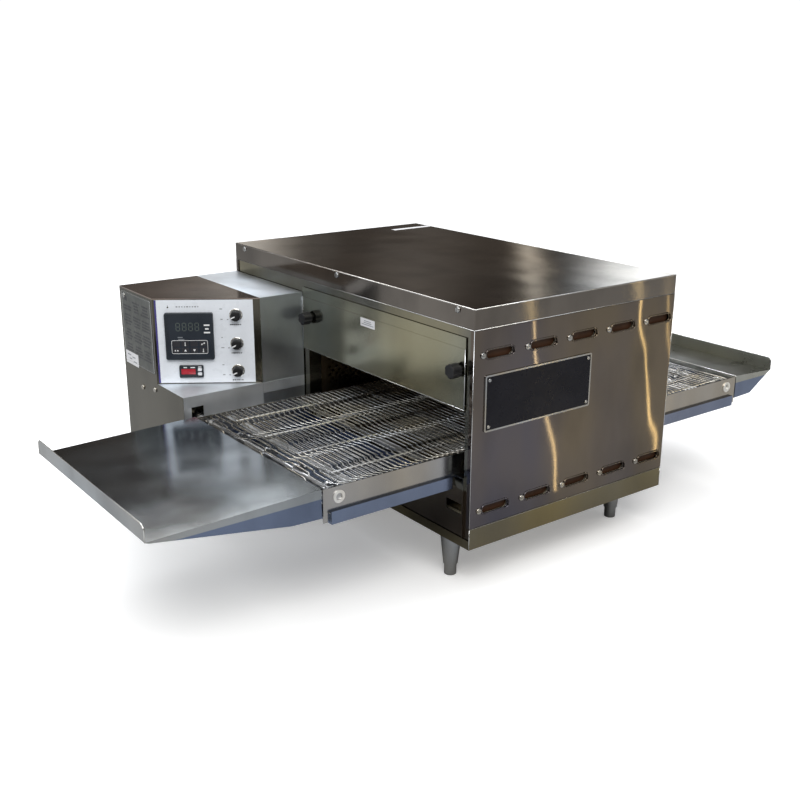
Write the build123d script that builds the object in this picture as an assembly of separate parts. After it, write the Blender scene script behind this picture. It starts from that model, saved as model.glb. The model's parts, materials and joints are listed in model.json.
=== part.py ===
from build123d import *
from math import cos, hypot, pi, radians, sin
import os

# Countertop conveyor oven. Millimetres, +Z up, +X along the belt, -Y is the long plain face.
# The pieces are drawn from the oven body's own corner: x = 0 at the body's left end face,
# y = 0 at its front face, z = 0 under its base. ORIGIN then moves them, so that the part's
# origin is on the counter, under the middle of everything that the oven reaches over.

# ---- oven body ----
BODY_X = 508.0            # length of the body along the belt
BODY_Y = 813.0            # front face to rear face
BODY_Z = 434.0            # underside of the base to the top of the lid
SHEET = 1.2               # outer sheet
LINER = 1.0               # inner sheet
BASE_H = 39.5             # front and rear strips of the base
BASE_END_H = 17.0         # end strips of the base
SEAM = 1.0                # open line between the base and a panel
LID_H = 37.0              # depth of the lid's flange
LID_GAP = 0.5             # lid to the panel below it
PANEL_FLANGE = 9.0        # panels turn round the corners by this much
INSULATION_GAP = 9.5      # front insulation to the front face, clear of the screw points
END_INSET = 2.0           # the end plates stand back from the body's end faces
END_CLEAR = 0.3           # sheet edges to their neighbours

# ---- tunnel ----
OPEN_Y0 = 20.0            # end opening, near jamb
OPEN_Y1 = 517.0           # end opening, far jamb
OPEN_Z0 = 108.0
OPEN_Z1 = 264.0
JAMB_X = 31.0             # depth of the end walls
LINER_Z0 = 46.0
LINER_Z1 = 386.0
PLENUM_Y1 = 640.0         # back of the hot air box
HOLE_R = 3.5              # return air holes
HOLE_PITCH = 17.0
HOLE_EDGE = 20.0
LATCH_Y = (25.0, 66.0)    # small window below the end opening
LATCH_Z = (60.0, 79.0)
WOOL_INSET = 12.0         # insulation to the outer sheets

# ---- air jets ----
FINGER_GAP = 16.0         # between two air fingers, and to the walls
FINGER_Y0 = 30.0
FINGER_DEEP = 82.0
FINGER_SHALLOW = 40.0
UPPER_JET_Z = OPEN_Z1
LOWER_JET_Z = OPEN_Z0 + 6.0
JET_R = 5.5
JET_COLUMNS = 5
JET_ROWS = 11

# ---- heaters, blower and its motor ----
HEATER_R = 4.0
HEATER_Y = 538.0
HEATER_BEND = 22.0        # half of a hairpin's width
HEATER_PITCH = 110.0
HEATER_X = 8.0            # the elements' ends, just inside the end wall
WHEEL_R = 112.0
WHEEL_Y0 = 566.0
WHEEL_Y1 = 620.0
WHEEL_RING = 20.0
WHEEL_HUB_R = 16.0
WHEEL_HUB_L = 30.0
WHEEL_DISC = 2.0
BLADES = 24
BLADE_W = 15.0
BLADE_T = 1.5
BLADE_TURN = 35.0
MOTOR_SHAFT_R = 7.0
MOTOR_Y0 = PLENUM_Y1 + 6.0
MOTOR_LEN = 140.0
MOTOR_R = 62.0
MOTOR_RIBS = 16
MOTOR_RIB_END = 22.0
MOTOR_PLATE = 95.0        # half of its square mounting plate
MOTOR_PLATE_EDGE = 5.0
LOUVRE_ROWS = 6
LOUVRE_PITCH = 20.0
LOUVRE_L = 100.0
LOUVRE_H = 8.0
LOUVRE_X = 70.0

# ---- conveyor ----
CONV_OUT = 277.0          # the frame's reach past each end face
CONV_Y0 = 37.0            # outer faces of the side plates
CONV_Y1 = 478.0
SIDE_T = 2.0
SIDE_TOP = 172.0
SIDE_BOTTOM = 130.4
RAIL_Z0 = 132.5
RAIL_Z1 = 170.0
SHAFT_Z = 154.5
SHAFT_INSET = 30.0        # shaft line to the end of the side plates
SHAFT_R = 6.0
BELT_R = 20.5             # outside of the belt where it turns
BELT_T = 2.6
BELT_GAP = 2.0            # belt edge to the rails
RUN_GAP = 0.4             # sprocket tips to the belt, and to the chain
FIT = 0.05                # radial clearance of a running or push fit
FACE_GAP = 0.4            # between two faces that turn or slide past each other
BUSH_R = 9.0
BUSH_FLANGE_R = 11.0
BUSH_FLANGE_T = 2.0
SPROCKETS = 5
SPROCKET_W = 6.0
SPROCKET_TEETH = 8
SPROCKET_INSET = 22.0
HOOK_BAR_H = 13.5         # end bars that the trays hook on
SUPPORT_ROD_R = 3.0
SUPPORT_RODS = 4
SUPPORT_BARS = 7
SUPPORT_BAR_W = 16.0
SUPPORT_BAR_H = 3.0
SUPPORT_INSET = 32.0      # first cross bar to the shaft line
NOTCH_H = 25.5            # the side plates stop short of the body below this depth
NOTCH_X = 12.7
SKIRT_TAB = 9.0           # the plates reach down past the pan at their outer ends
POST_Y = 17.0             # upright of each bracket at the end opening
POST_T = 1.5
POST_PROUD = 2.0
GUSSET_Y = 40.0
GUSSET_Z = 92.0
ARM_X0 = -3.0             # bracket arms, outside and inside the end plate
ARM_X1 = 12.0

# ---- chain drive ----
CHAIN_Y = 560.0
CHAIN_W = 7.0
CHAIN_T = 4.0
DRIVEN_R = 20.0
DRIVER_R = 13.0
MOTOR_X = -175.0
MOTOR_Z = 76.0
DRIVEN_TEETH = 20
DRIVER_TEETH = 13
GEARBOX_Y0 = 582.0
GEARBOX_Y1 = 650.0
GEARMOTOR_L = 105.0
GEARMOTOR_R = 40.0

# ---- end trays and crumb trays ----
TRAY_GAP = 3.0            # side plates' end to the tray
LEFT_TRAY = 298.0
RIGHT_TRAY = 124.0
TRAY_FALL = 7.0           # the tray drops this much to its outer end
TRAY_SKIRT = 50.0         # depth of its sides at the conveyor
TRAY_LEVEL = 55.0         # the sides' lower edge is level this far
TRAY_FLANGE = 27.0
PAN_Z = 111.0
PAN_OUT = 6.0             # the pan's sides stand this far outside the side plates
PAN_TOP = 133.3
PAN_X0 = 265.0            # reach of the pan from the end face
PAN_X1 = 14.0
PAN_LIP_X1 = 4.0
SLIDE_GAP = 0.5
PAN_STEP = 12.0           # height of the pan's inner end
PAN_EDGE = 2.6            # height of its outer edge
HOOK_W = 40.0
HOOK_L = 9.5
HOOK_T = 1.5
HOOK_DROP = 9.0

# ---- end panels (they slide up and down) ----
PANEL_Y0 = 20.3
PANEL_Y1 = 533.5
PANEL_Z0 = 254.0
PANEL_Z1 = 382.0
PANEL_CREASE = 362.0
PANEL_DOWN = 50.0
PANEL_UP = 8.0
KNOB_Z = 324.0
KNOB_Y = (35.0, 503.0)
KNOB_R = 13.0
KNOB_L = 18.0
STUD_R = 3.0
STUD_L = 14.0
STUD_PLAY = 1.0           # round the stud in the end plate's slot
KNOB_FLUTES = 6
KNOB_BOSS_R = 8.0
KNOB_BOSS_L = 4.0
PANEL_LIP = 10.0          # lower lip, turned in

# ---- control cabinet ----
CAB_X = 276.0             # reach past the left end face
CAB_Y0 = 535.0
CAB_TOP = 371.0
CAB_SPLIT = 99.0          # the control box ends here, and a plain cover follows
CAB_CHAMFER = 118.0       # depth of the slanted corner along Y
LEDGE_Z = 195.0
FACE_W = 194.0            # white control faceplate on the slanted corner
FACE_H = 171.0
FACE_S = 4.5              # its edge from the corner line
FACE_Z0 = 197.0
FACE_T = 1.5
CTRL = 96.0               # square temperature controller
CTRL_S = 71.0
CTRL_Z = 295.0
MODULE_W = 48.0           # small limit controller
MODULE_H = 25.0
MODULE_Z = 222.0
DIAL_S = 164.0
DIAL_Z = (337.0, 278.5, 222.0)
DIAL_R = 10.0
DIAL_RING_R = 13.5
DIAL_H = 15.0
DIAL_RING_T = 1.6
DIAL_STEM_R = 3.0
DIAL_STEM_L = 18.0
DIAL_REST = 205.0         # direction of the pointers
SWITCH_CASE = 30.0
BUTTON_TRAVEL = 1.0
BUTTON_DX = 17.0
BUTTON_DZ = 4.5
BUTTON_W = 8.0
BUTTON_H = 6.0
BUTTON_L = 4.6
BEZEL_T = 8.0             # controller
BEZEL_RIM = 5.0
BEZEL_DIP = 1.6
CTRL_BODY = 91.6
CTRL_DEEP = 75.0
MODULE_T = 5.0
MODULE_BODY = (44.6, 21.6, 48.0)
MODULE_WINDOW = (29.0, 12.0)
MODULE_WINDOW_DX = -6.0
CUT_PLAY = 0.4            # round a body in its cutout
FACE_LAP = 7.0            # the faceplate laps its window by this much
CAB_LIP = 12.0            # upstand of the cabinet's base
VENT_SLOTS = 7
VENT_PITCH = 12.0
VENT_W = 5.0

# ---- front face ----
SLOTS = 5
SLOT_PITCH = 102.0
SLOT_X = 58.5
SLOT_Z = (70.4, 352.6)
SLOT_L = 65.0
SLOT_H = 18.0
SLOT_RIM = 1.6
RIM_PROUD = 1.0
SCREW_DX = -38.3          # each slot's screw from the slot's centre
SCREW_R = 2.0
SCREW_HEAD_R = 5.6
SCREW_L = 8.0
SCREW_INSET = 43.0        # lid screws to the body's corners
SCREW_HEAD_H = 3.0
BADGE_X0 = 25.7
BADGE_W = 257.0
BADGE_Z0 = 215.3
BADGE_H = 101.4
BADGE_T = 2.5
RIVET_H = 1.5
RIVET_R = 3.4
RIVET_INSET = 9.0
BADGE_RIM = 3.0
BADGE_DIP = 0.8

# ---- legs ----
LEG_H = 92.0
LEG_X = 36.0
LEG_Y = 92.0
LEG_TOP_R = 21.0
LEG_LOW_R = 13.7
FOOT_R = 11.7
FOOT_H = 22.0
FOOT_STEM_R = 5.0
FOOT_STEM_L = 40.0
LEG_PIN_R = 5.0           # the leg's spigot in the base
LEG_PIN_L = 6.0

# ---- rear ----
GLAND_R = 6.5
GLAND_L = 26.0
GLAND_PROUD = 20.0
GLAND_X = -60.0
GLAND_Z = 60.0
GLAND_WALL = 4.0
GLAND_HEAD_R = 12.0
NUT_R = 15.0
NUT_T = 6.0
FAN_X = -190.0
FAN_Z = 285.0
FAN_R = 44.0
FAN_SIZE = 96.0
FAN_T = 25.0
FAN_HUB_R = 19.0
FAN_PIN_R = 3.0
FAN_BLADES = 7
FAN_BLADE_L = 25.0
FAN_ROTOR_T = 18.0
FAN_SPOKE_T = 3.0

# ---- placing ----
LEFT_REACH = CONV_OUT + TRAY_GAP + LEFT_TRAY
RIGHT_REACH = CONV_OUT + TRAY_GAP + RIGHT_TRAY
FRONT_PROUD = BADGE_T + RIVET_H
ORIGIN_X = (LEFT_REACH - RIGHT_REACH - BODY_X) / 2
ORIGIN_Y = (FRONT_PROUD - GLAND_PROUD - BODY_Y) / 2
ORIGIN = Pos(ORIGIN_X, ORIGIN_Y, LEG_H)
MIDDLE = Plane.YZ.offset(BODY_X / 2)

SHAFT_X0 = -CONV_OUT + SHAFT_INSET
SHAFT_X1 = BODY_X + CONV_OUT - SHAFT_INSET
LID_Z0 = BODY_Z - LID_H
FLANGE_X = END_INSET + SHEET + END_CLEAR   # turned-in edges stop clear of the end plates
BLOWER_X = BODY_X / 2
BLOWER_Z = (LINER_Z0 + LINER_Z1) / 2

# ---- the slanted corner's own frame: x along it, y up, z outwards ----
FACE_LEN = hypot(CAB_X - CAB_SPLIT, CAB_CHAMFER)
FACE_U = ((CAB_X - CAB_SPLIT) / FACE_LEN, -CAB_CHAMFER / FACE_LEN, 0)
FACE_N = (FACE_U[1], -FACE_U[0], 0)
FACE = Plane(origin=(-CAB_X, CAB_Y0 + CAB_CHAMFER, 0), x_dir=FACE_U, z_dir=FACE_N)


def slab(x0, x1, y0, y1, z0, z1):
    """A block between two corners."""
    return Pos((x0 + x1) / 2, (y0 + y1) / 2, (z0 + z1) / 2) * Box(x1 - x0, y1 - y0, z1 - z0)


def rod_x(x0, x1, y, z, r):
    return Pos((x0 + x1) / 2, y, z) * Rot(0, 90, 0) * Cylinder(r, x1 - x0)


def rod_y(x, y0, y1, z, r):
    return Pos(x, (y0 + y1) / 2, z) * Rot(90, 0, 0) * Cylinder(r, y1 - y0)


def rod_z(x, y, z0, z1, r):
    return Pos(x, y, (z0 + z1) / 2) * Cylinder(r, z1 - z0)


def across(points, y0, y1):
    """An outline of (x, z) points, as thick as y0 to y1."""
    plane = Plane(origin=(0, y1, 0), x_dir=(1, 0, 0), z_dir=(0, -1, 0))
    return extrude(plane * make_face(Polyline(points, close=True)), y1 - y0)


def along(points, x0, x1):
    """An outline of (y, z) points, as long as x0 to x1."""
    plane = Plane(origin=(x0, 0, 0), x_dir=(0, 1, 0), z_dir=(1, 0, 0))
    return extrude(plane * make_face(Polyline(points, close=True)), x1 - x0)


def on_face(s, z, outward, shape):
    """Put a shape on the slanted corner: s along it, z up, outward from it."""
    return FACE.location * Pos(s, z, outward) * shape


def both_ends(shape):
    return mirror(shape, about=MIDDLE)


def group(solids):
    """Separate solids kept in one node."""
    flat = []
    for item in solids:
        flat.extend(item.solids())
    return Compound(children=flat)


def save(name, shape):
    moved = ORIGIN * shape
    export_step(Compound(children=list(moved.solids())), f"parts/{name}.step")


# ---- where the screws go: each is a point and the direction its head faces ----
def front_screw_points():
    xs = [SLOT_X + SCREW_DX + i * SLOT_PITCH for i in range(SLOTS)]
    return [(x, 0.0, z) for x in xs for z in SLOT_Z]


def lid_screw_points():
    ys = (SCREW_INSET, BODY_Y / 2, BODY_Y - SCREW_INSET)
    return [(0.0, y, BODY_Z - 8.0) for y in ys]


def rear_screw_points():
    return [(x, BODY_Y, z) for x in (18.0, BODY_X / 2, BODY_X - 18.0)
            for z in (BASE_H + 16.0, LID_Z0 - 16.0)]


def cabinet_screw_points():
    return [(-CAB_X, CAB_Y0 + y, z) for y, z in ((130.0, 180.0), (190.0, 171.0), (255.0, 22.0),
                                                (30.0, 22.0), (255.0, 355.0))]


def hole_x(point, r):
    return rod_x(point[0] - 12, point[0] + 12, point[1], point[2], r)


def hole_y(point, r):
    return rod_y(point[0], point[1] - 12, point[1] + 12, point[2], r)


def screw(point, axis, outward):
    """Pan head screw: axis 'x' or 'y', outward +1 or -1 along it."""
    bolt = Cylinder(SCREW_R, SCREW_L, align=(Align.CENTER, Align.CENTER, Align.MAX))
    head = Cylinder(SCREW_HEAD_R, SCREW_HEAD_H, align=(Align.CENTER, Align.CENTER, Align.MIN))
    head = fillet(head.edges().group_by(Axis.Z)[-1], SCREW_HEAD_H * 0.7)
    head -= Pos(0, 0, SCREW_HEAD_H) * Box(2 * SCREW_HEAD_R, 1.1, 2.4)
    turn = Rot(0, 90 * outward, 0) if axis == "x" else Rot(-90 * outward, 0, 0)
    return Pos(*point) * turn * (bolt + head)


# ---- outer shell ----
def base_pan():
    pan = slab(0, BODY_X, 0, BODY_Y, 0, SHEET)
    for y in (0, BODY_Y - SHEET):
        pan += slab(0, BODY_X, y, y + SHEET, 0, BASE_H)
    x0, x1 = FLANGE_X, BODY_X - FLANGE_X
    pan += slab(x0, x1, SHEET, PANEL_FLANGE, BASE_H - SHEET, BASE_H)
    pan += slab(x0, x1, BODY_Y - PANEL_FLANGE, BODY_Y - SHEET, BASE_H - SHEET, BASE_H)
    for x in (0, BODY_X - SHEET):
        pan += slab(x, x + SHEET, 0, BODY_Y, 0, BASE_END_H)
    for x, y in leg_points():
        pan -= rod_z(x, y, -1, 4, LEG_PIN_R)
    return pan


def front_panel():
    z0, z1 = BASE_H + SEAM, LID_Z0 - LID_GAP
    panel = slab(0, BODY_X, 0, SHEET, z0, z1)
    for x in (0, BODY_X - SHEET):
        panel += slab(x, x + SHEET, 0, PANEL_FLANGE, z0, z1)
    panel += slab(FLANGE_X, BODY_X - FLANGE_X, 0, PANEL_FLANGE, z1 - SHEET, z1)
    plane = Plane(origin=(0, 0, 0), x_dir=(1, 0, 0), z_dir=(0, -1, 0))
    for z in SLOT_Z:
        for i in range(SLOTS):
            x = SLOT_X + i * SLOT_PITCH
            slot = Pos(x, z) * SlotOverall(SLOT_L - 2 * SLOT_RIM, SLOT_H - 2 * SLOT_RIM)
            rim = Pos(x, z) * SlotOverall(SLOT_L, SLOT_H) - slot
            panel -= extrude(plane * slot, 4, both=True)
            panel += extrude(plane * rim, RIM_PROUD)
    for point in front_screw_points():
        panel -= hole_y(point, SCREW_R + FIT)
    return panel


def rear_panel():
    z0, z1 = BASE_H + SEAM, LID_Z0 - LID_GAP
    panel = slab(0, BODY_X, BODY_Y - SHEET, BODY_Y, z0, z1)
    for x in (0, BODY_X - SHEET):
        panel += slab(x, x + SHEET, BODY_Y - PANEL_FLANGE, BODY_Y, z0, z1)
    for row in range(LOUVRE_ROWS):
        z = BLOWER_Z + (row - (LOUVRE_ROWS - 1) / 2) * LOUVRE_PITCH
        for x in (BODY_X / 2 - LOUVRE_X, BODY_X / 2 + LOUVRE_X):
            panel -= slab(x - LOUVRE_L / 2, x + LOUVRE_L / 2, BODY_Y - 5, BODY_Y + 1,
                          z - LOUVRE_H / 2, z + LOUVRE_H / 2)
    for point in rear_screw_points():
        panel -= hole_y(point, SCREW_R + FIT)
    return panel


def top_cover():
    lid = slab(0, BODY_X, 0, BODY_Y, LID_Z0, BODY_Z)
    lid = fillet(lid.edges().group_by(Axis.Z)[-1] + lid.edges().filter_by(Axis.Z), 1.5)
    lid -= slab(SHEET, BODY_X - SHEET, SHEET, BODY_Y - SHEET, LID_Z0 - 1, BODY_Z - SHEET)
    for point in lid_screw_points():
        lid -= hole_x(point, SCREW_R + FIT) + hole_x((BODY_X, *point[1:]), SCREW_R + FIT)
    return lid


def left_end_plate():
    x0, x1 = END_INSET, END_INSET + SHEET
    plate = slab(x0, x1, SHEET + END_CLEAR, BODY_Y - SHEET - END_CLEAR, SHEET, BODY_Z - SHEET)
    plate += slab(x1, JAMB_X, OPEN_Y0 - SHEET, OPEN_Y1 + SHEET, OPEN_Z0 - SHEET, OPEN_Z1 + SHEET)
    plate -= slab(x0 - 1, JAMB_X + 1, OPEN_Y0, OPEN_Y1, OPEN_Z0, OPEN_Z1)
    play = STUD_R + STUD_PLAY
    for y in KNOB_Y:
        plate -= slab(x0 - 1, x1 + 1, y - play, y + play,
                      KNOB_Z - PANEL_DOWN - play, KNOB_Z + PANEL_UP + play)
    plate -= slab(x0 - 1, x1 + 1, *LATCH_Y, *LATCH_Z)
    for point in lid_screw_points():
        plate -= hole_x(point, SCREW_R + FIT)
    return plate


def right_end_plate():
    return both_ends(left_end_plate())


def cabinet_wire_way():
    """Opening from the cabinet into the oven body, for wires and heater ends."""
    return slab(-10, 20, CAB_Y0 + 90, CAB_Y0 + 190, 60, 330)


# ---- hot parts ----
def chamber_liner():
    x0, x1 = JAMB_X, BODY_X - JAMB_X
    box = slab(x0, x1, OPEN_Y0 - LINER, OPEN_Y1, LINER_Z0, LINER_Z1)
    box -= slab(x0 + LINER, x1 - LINER, OPEN_Y0, OPEN_Y1 + 1, LINER_Z0 + LINER, LINER_Z1 - LINER)
    return box - slab(x0 - 1, x1 + 1, OPEN_Y0, OPEN_Y1 + 1, OPEN_Z0, OPEN_Z1)


def return_air_plate():
    x0, x1 = JAMB_X, BODY_X - JAMB_X
    plane = Plane(origin=(0, OPEN_Y1, 0), x_dir=(-1, 0, 0), z_dir=(0, 1, 0))
    face = Pos(-(x0 + x1) / 2, (LINER_Z0 + LINER_Z1) / 2) * Rectangle(x1 - x0, LINER_Z1 - LINER_Z0)
    across_n = int((x1 - x0 - 2 * HOLE_EDGE) / HOLE_PITCH)
    rows = int((OPEN_Z1 - OPEN_Z0 - HOLE_EDGE) / (HOLE_PITCH / 2))
    holes = []
    for row in range(rows):
        z = OPEN_Z0 + HOLE_EDGE * 0.7 + row * HOLE_PITCH / 2
        shift = (row % 2) * HOLE_PITCH / 2
        for i in range(across_n):
            holes.append(Pos(-(x0 + HOLE_EDGE + shift + i * HOLE_PITCH), z) * Circle(HOLE_R))
    face -= holes
    for finger_x0, finger_x1 in finger_spans():
        for z0, z1 in finger_mouths():
            mouth = Rectangle(finger_x1 - finger_x0 - 12, z1 - z0)
            face -= Pos(-(finger_x0 + finger_x1) / 2, (z0 + z1) / 2) * mouth
    return extrude(plane * face, SHEET)


def finger_spans():
    width = (BODY_X - 2 * JAMB_X - 3 * FINGER_GAP) / 2
    first = JAMB_X + FINGER_GAP
    second = first + width + FINGER_GAP
    return [(first, first + width), (second, second + width)]


def finger_mouths():
    """Heights of the upper and lower finger inlets."""
    return ((UPPER_JET_Z + 6, UPPER_JET_Z + FINGER_DEEP - 8), (LINER_Z0 + 8, LOWER_JET_Z - 6))


def finger(x0, x1, jet_z, deep, shallow):
    """Tapered sheet duct, open towards the belt and at its rear. Depths are signed."""
    t = LINER * (1 if deep > 0 else -1)
    outer = [(FINGER_Y0, jet_z), (OPEN_Y1, jet_z),
             (OPEN_Y1, jet_z + deep), (FINGER_Y0, jet_z + shallow)]
    inner = [(FINGER_Y0 + LINER, jet_z - t), (OPEN_Y1 + 1, jet_z - t),
             (OPEN_Y1 + 1, jet_z + deep - t), (FINGER_Y0 + LINER, jet_z + shallow - t)]
    return along(outer, x0, x1) - along(inner, x0 + LINER, x1 - LINER)


def jet_plate(x0, x1, z0):
    holes = []
    for i in range(JET_COLUMNS):
        for j in range(JET_ROWS):
            x = x0 + (x1 - x0) * (i + 0.5) / JET_COLUMNS
            y = FINGER_Y0 + (OPEN_Y1 - FINGER_Y0) * (j + 0.5) / JET_ROWS
            holes.append(Pos(x, y) * Circle(JET_R))
    face = Pos((x0 + x1) / 2, (FINGER_Y0 + OPEN_Y1) / 2) * Rectangle(x1 - x0, OPEN_Y1 - FINGER_Y0)
    return Pos(0, 0, z0) * extrude(face - holes, SHEET)


def air_fingers():
    pieces = []
    low_deep = LOWER_JET_Z - LINER_Z0 - 3
    for x0, x1 in finger_spans():
        pieces.append(finger(x0, x1, UPPER_JET_Z, FINGER_DEEP, FINGER_SHALLOW))
        pieces.append(jet_plate(x0, x1, UPPER_JET_Z - SHEET))
        pieces.append(finger(x0, x1, LOWER_JET_Z, -low_deep, -FINGER_SHALLOW))
        pieces.append(jet_plate(x0, x1, LOWER_JET_Z))
    return group(pieces)


def plenum_housing():
    x0, x1 = JAMB_X, BODY_X - JAMB_X
    y0 = OPEN_Y1 + SHEET
    box = slab(x0, x1, y0, PLENUM_Y1, LINER_Z0, LINER_Z1)
    box -= slab(x0 + LINER, x1 - LINER, y0 - 1, PLENUM_Y1 - LINER, LINER_Z0 + LINER, LINER_Z1 - LINER)
    box -= rod_y(BLOWER_X, PLENUM_Y1 - 5, PLENUM_Y1 + 5, BLOWER_Z, MOTOR_SHAFT_R + 5)
    for z in heater_heights():
        for dz in (-HEATER_BEND, HEATER_BEND):
            box -= rod_x(x0 - 5, x0 + 5, HEATER_Y, z + dz, HEATER_R + 0.3)
    return box


def heater_heights():
    return [BLOWER_Z - HEATER_PITCH, BLOWER_Z, BLOWER_Z + HEATER_PITCH]


def heating_elements():
    """Three hairpin elements that enter from the control side."""
    bend_x = BODY_X - JAMB_X - 50
    pins = []
    for z in heater_heights():
        low, high = z - HEATER_BEND, z + HEATER_BEND
        start = Line((HEATER_X, HEATER_Y, low), (bend_x, HEATER_Y, low))
        bend = ThreePointArc(start @ 1, (bend_x + HEATER_BEND, HEATER_Y, z), (bend_x, HEATER_Y, high))
        back = Line(bend @ 1, (HEATER_X, HEATER_Y, high))
        section = Plane(origin=start @ 0, z_dir=(1, 0, 0)) * Circle(HEATER_R)
        pins.append(sweep(section, path=Wire([start, bend, back])))
    return group(pins)


def blower_wheel():
    """Forward curved wheel."""
    centre = Pos(BLOWER_X, 0, BLOWER_Z)
    ring = rod_y(0, WHEEL_Y0, WHEEL_Y0 + WHEEL_DISC, 0, WHEEL_R)
    ring -= rod_y(0, WHEEL_Y0 - 1, WHEEL_Y0 + WHEEL_DISC + 1, 0, WHEEL_R - WHEEL_RING)
    back = rod_y(0, WHEEL_Y1 - WHEEL_DISC, WHEEL_Y1, 0, WHEEL_R)
    hub = rod_y(0, WHEEL_Y1 - WHEEL_HUB_L, WHEEL_Y1, 0, WHEEL_HUB_R)
    wheel = ring + back + hub
    blade = Rot(0, BLADE_TURN, 0) * Box(BLADE_W, WHEEL_Y1 - WHEEL_Y0 - 1, BLADE_T)
    blade = Pos(WHEEL_R - WHEEL_RING / 2, (WHEEL_Y0 + WHEEL_Y1) / 2, 0) * blade
    for i in range(BLADES):
        wheel += Rot(0, i * 360 / BLADES, 0) * blade
    wheel -= rod_y(0, WHEEL_Y0 - 1, WHEEL_Y1 + 1, 0, MOTOR_SHAFT_R + FIT)
    return centre * wheel


def blower_shaft():
    return rod_y(BLOWER_X, WHEEL_Y1 - WHEEL_HUB_L - 4, MOTOR_Y0 + 40, BLOWER_Z, MOTOR_SHAFT_R)


def blower_motor():
    centre = Pos(BLOWER_X, 0, BLOWER_Z)
    y1 = MOTOR_Y0 + MOTOR_LEN
    body = rod_y(0, MOTOR_Y0, y1, 0, MOTOR_R)
    body = fillet(body.edges().filter_by(GeomType.CIRCLE), 8)
    rib = slab(MOTOR_R - 2, MOTOR_R + 4, MOTOR_Y0 + MOTOR_RIB_END, y1 - MOTOR_RIB_END, -2, 2)
    for i in range(MOTOR_RIBS):
        body += Rot(0, i * 360 / MOTOR_RIBS, 0) * rib
    outer, inner = MOTOR_PLATE, MOTOR_PLATE - MOTOR_PLATE_EDGE
    plate = slab(-outer, outer, PLENUM_Y1, MOTOR_Y0 + 2, -outer, outer)
    plate -= slab(-inner, inner, PLENUM_Y1 - 1, MOTOR_Y0, -inner, inner)
    motor = body + plate - rod_y(0, PLENUM_Y1 - 1, MOTOR_Y0 + 44, 0, MOTOR_SHAFT_R + FIT)
    return centre * motor


def insulation():
    x0, x1 = JAMB_X + 1, BODY_X - JAMB_X - 1
    front = slab(x0, x1, INSULATION_GAP, OPEN_Y0 - LINER, BASE_H + 3, LINER_Z1)
    far = BODY_X - WOOL_INSET
    top = slab(WOOL_INSET, far, OPEN_Y0, PLENUM_Y1, LINER_Z1, BODY_Z - WOOL_INSET)
    bottom = slab(WOOL_INSET, far, OPEN_Y0, PLENUM_Y1, LEG_PIN_L + 2, LINER_Z0)
    return group([front, top, bottom])


# ---- end panels ----
def left_end_panel():
    panel = slab(-SHEET, 0, PANEL_Y0, PANEL_Y1, PANEL_Z0, PANEL_CREASE)
    panel += slab(-SHEET / 2, SHEET / 2, PANEL_Y0, PANEL_Y1, PANEL_CREASE - SHEET, PANEL_Z1)
    panel += slab(-SHEET, PANEL_LIP, PANEL_Y0, OPEN_Y1 - 2, PANEL_Z0, PANEL_Z0 + SHEET)
    for y in KNOB_Y:
        panel -= rod_x(-5, 5, y, KNOB_Z, STUD_R + FIT)
    return panel


def right_end_panel():
    return both_ends(left_end_panel())


def panel_knob(y):
    """Fluted clamping knob on a stud that reaches through the end plate's slot."""
    base = (Align.CENTER, Align.CENTER, Align.MIN)
    grip = Cylinder(KNOB_R, KNOB_L, align=base)
    flute = Pos(KNOB_R + 3.2, 0, -1) * Cylinder(5, KNOB_L + 2, align=base)
    for i in range(KNOB_FLUTES):
        grip -= Rot(0, 0, (i + 0.5) * 360 / KNOB_FLUTES) * flute
    grip = chamfer(grip.edges().group_by(Axis.Z)[-1], 1.2)
    boss = Cylinder(KNOB_BOSS_R, KNOB_BOSS_L, align=base)
    stud = Cylinder(STUD_R, STUD_L, align=(Align.CENTER, Align.CENTER, Align.MAX))
    knob = Pos(0, 0, KNOB_BOSS_L) * grip + boss + stud
    return Pos(-SHEET - FACE_GAP, y, KNOB_Z) * Rot(0, -90, 0) * knob


# ---- conveyor ----
def conveyor_frame():
    """Two long rails, and a bar across each end for the trays to hook on."""
    solids = []
    x0, x1 = -CONV_OUT + 2, BODY_X + CONV_OUT - 2
    for y in (CONV_Y0 + SIDE_T, CONV_Y1 - 2 * SIDE_T):
        rail = slab(x0, x1, y, y + SIDE_T, RAIL_Z0, RAIL_Z1)
        for x in (SHAFT_X0, SHAFT_X1):
            rail -= rod_y(x, y - 1, y + SIDE_T + 1, SHAFT_Z, BUSH_R + FIT)
        solids.append(rail)
    y0, y1 = CONV_Y0 + 2 * SIDE_T, CONV_Y1 - 2 * SIDE_T
    for x in (x0, x1 - SIDE_T):
        solids.append(slab(x, x + SIDE_T, y0, y1, RAIL_Z0, RAIL_Z0 + HOOK_BAR_H))
    return group(solids)


def skirt_plate(y):
    """Outer side plate of one conveyor end, notched where it meets the body."""
    notch_z = SIDE_TOP - NOTCH_H
    tab_x = -CONV_OUT + SKIRT_TAB
    outline = [(-CONV_OUT, PAN_Z + 3), (-CONV_OUT, SIDE_TOP), (-SHEET / 2, SIDE_TOP),
               (-SHEET / 2, notch_z), (-NOTCH_X, notch_z), (-NOTCH_X, SIDE_BOTTOM),
               (tab_x, SIDE_BOTTOM), (tab_x, PAN_Z + 3)]
    plate = across(outline, y, y + SIDE_T)
    out = -1 if y < BODY_Y / 3 else 1
    inner = y if out < 0 else y + SIDE_T
    low, high = sorted((inner, inner + out * (PAN_OUT - SHEET - 1)))
    plate += slab(tab_x, -PAN_X1, low, high, SIDE_BOTTOM, SIDE_BOTTOM + SHEET)
    return plate - rod_y(SHAFT_X0, y - 1, y + SIDE_T + 1, SHAFT_Z, BUSH_R + FIT)


def skirt_plates():
    left = [skirt_plate(CONV_Y0), skirt_plate(CONV_Y1 - SIDE_T)]
    return group(left + [both_ends(p) for p in left])


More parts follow.
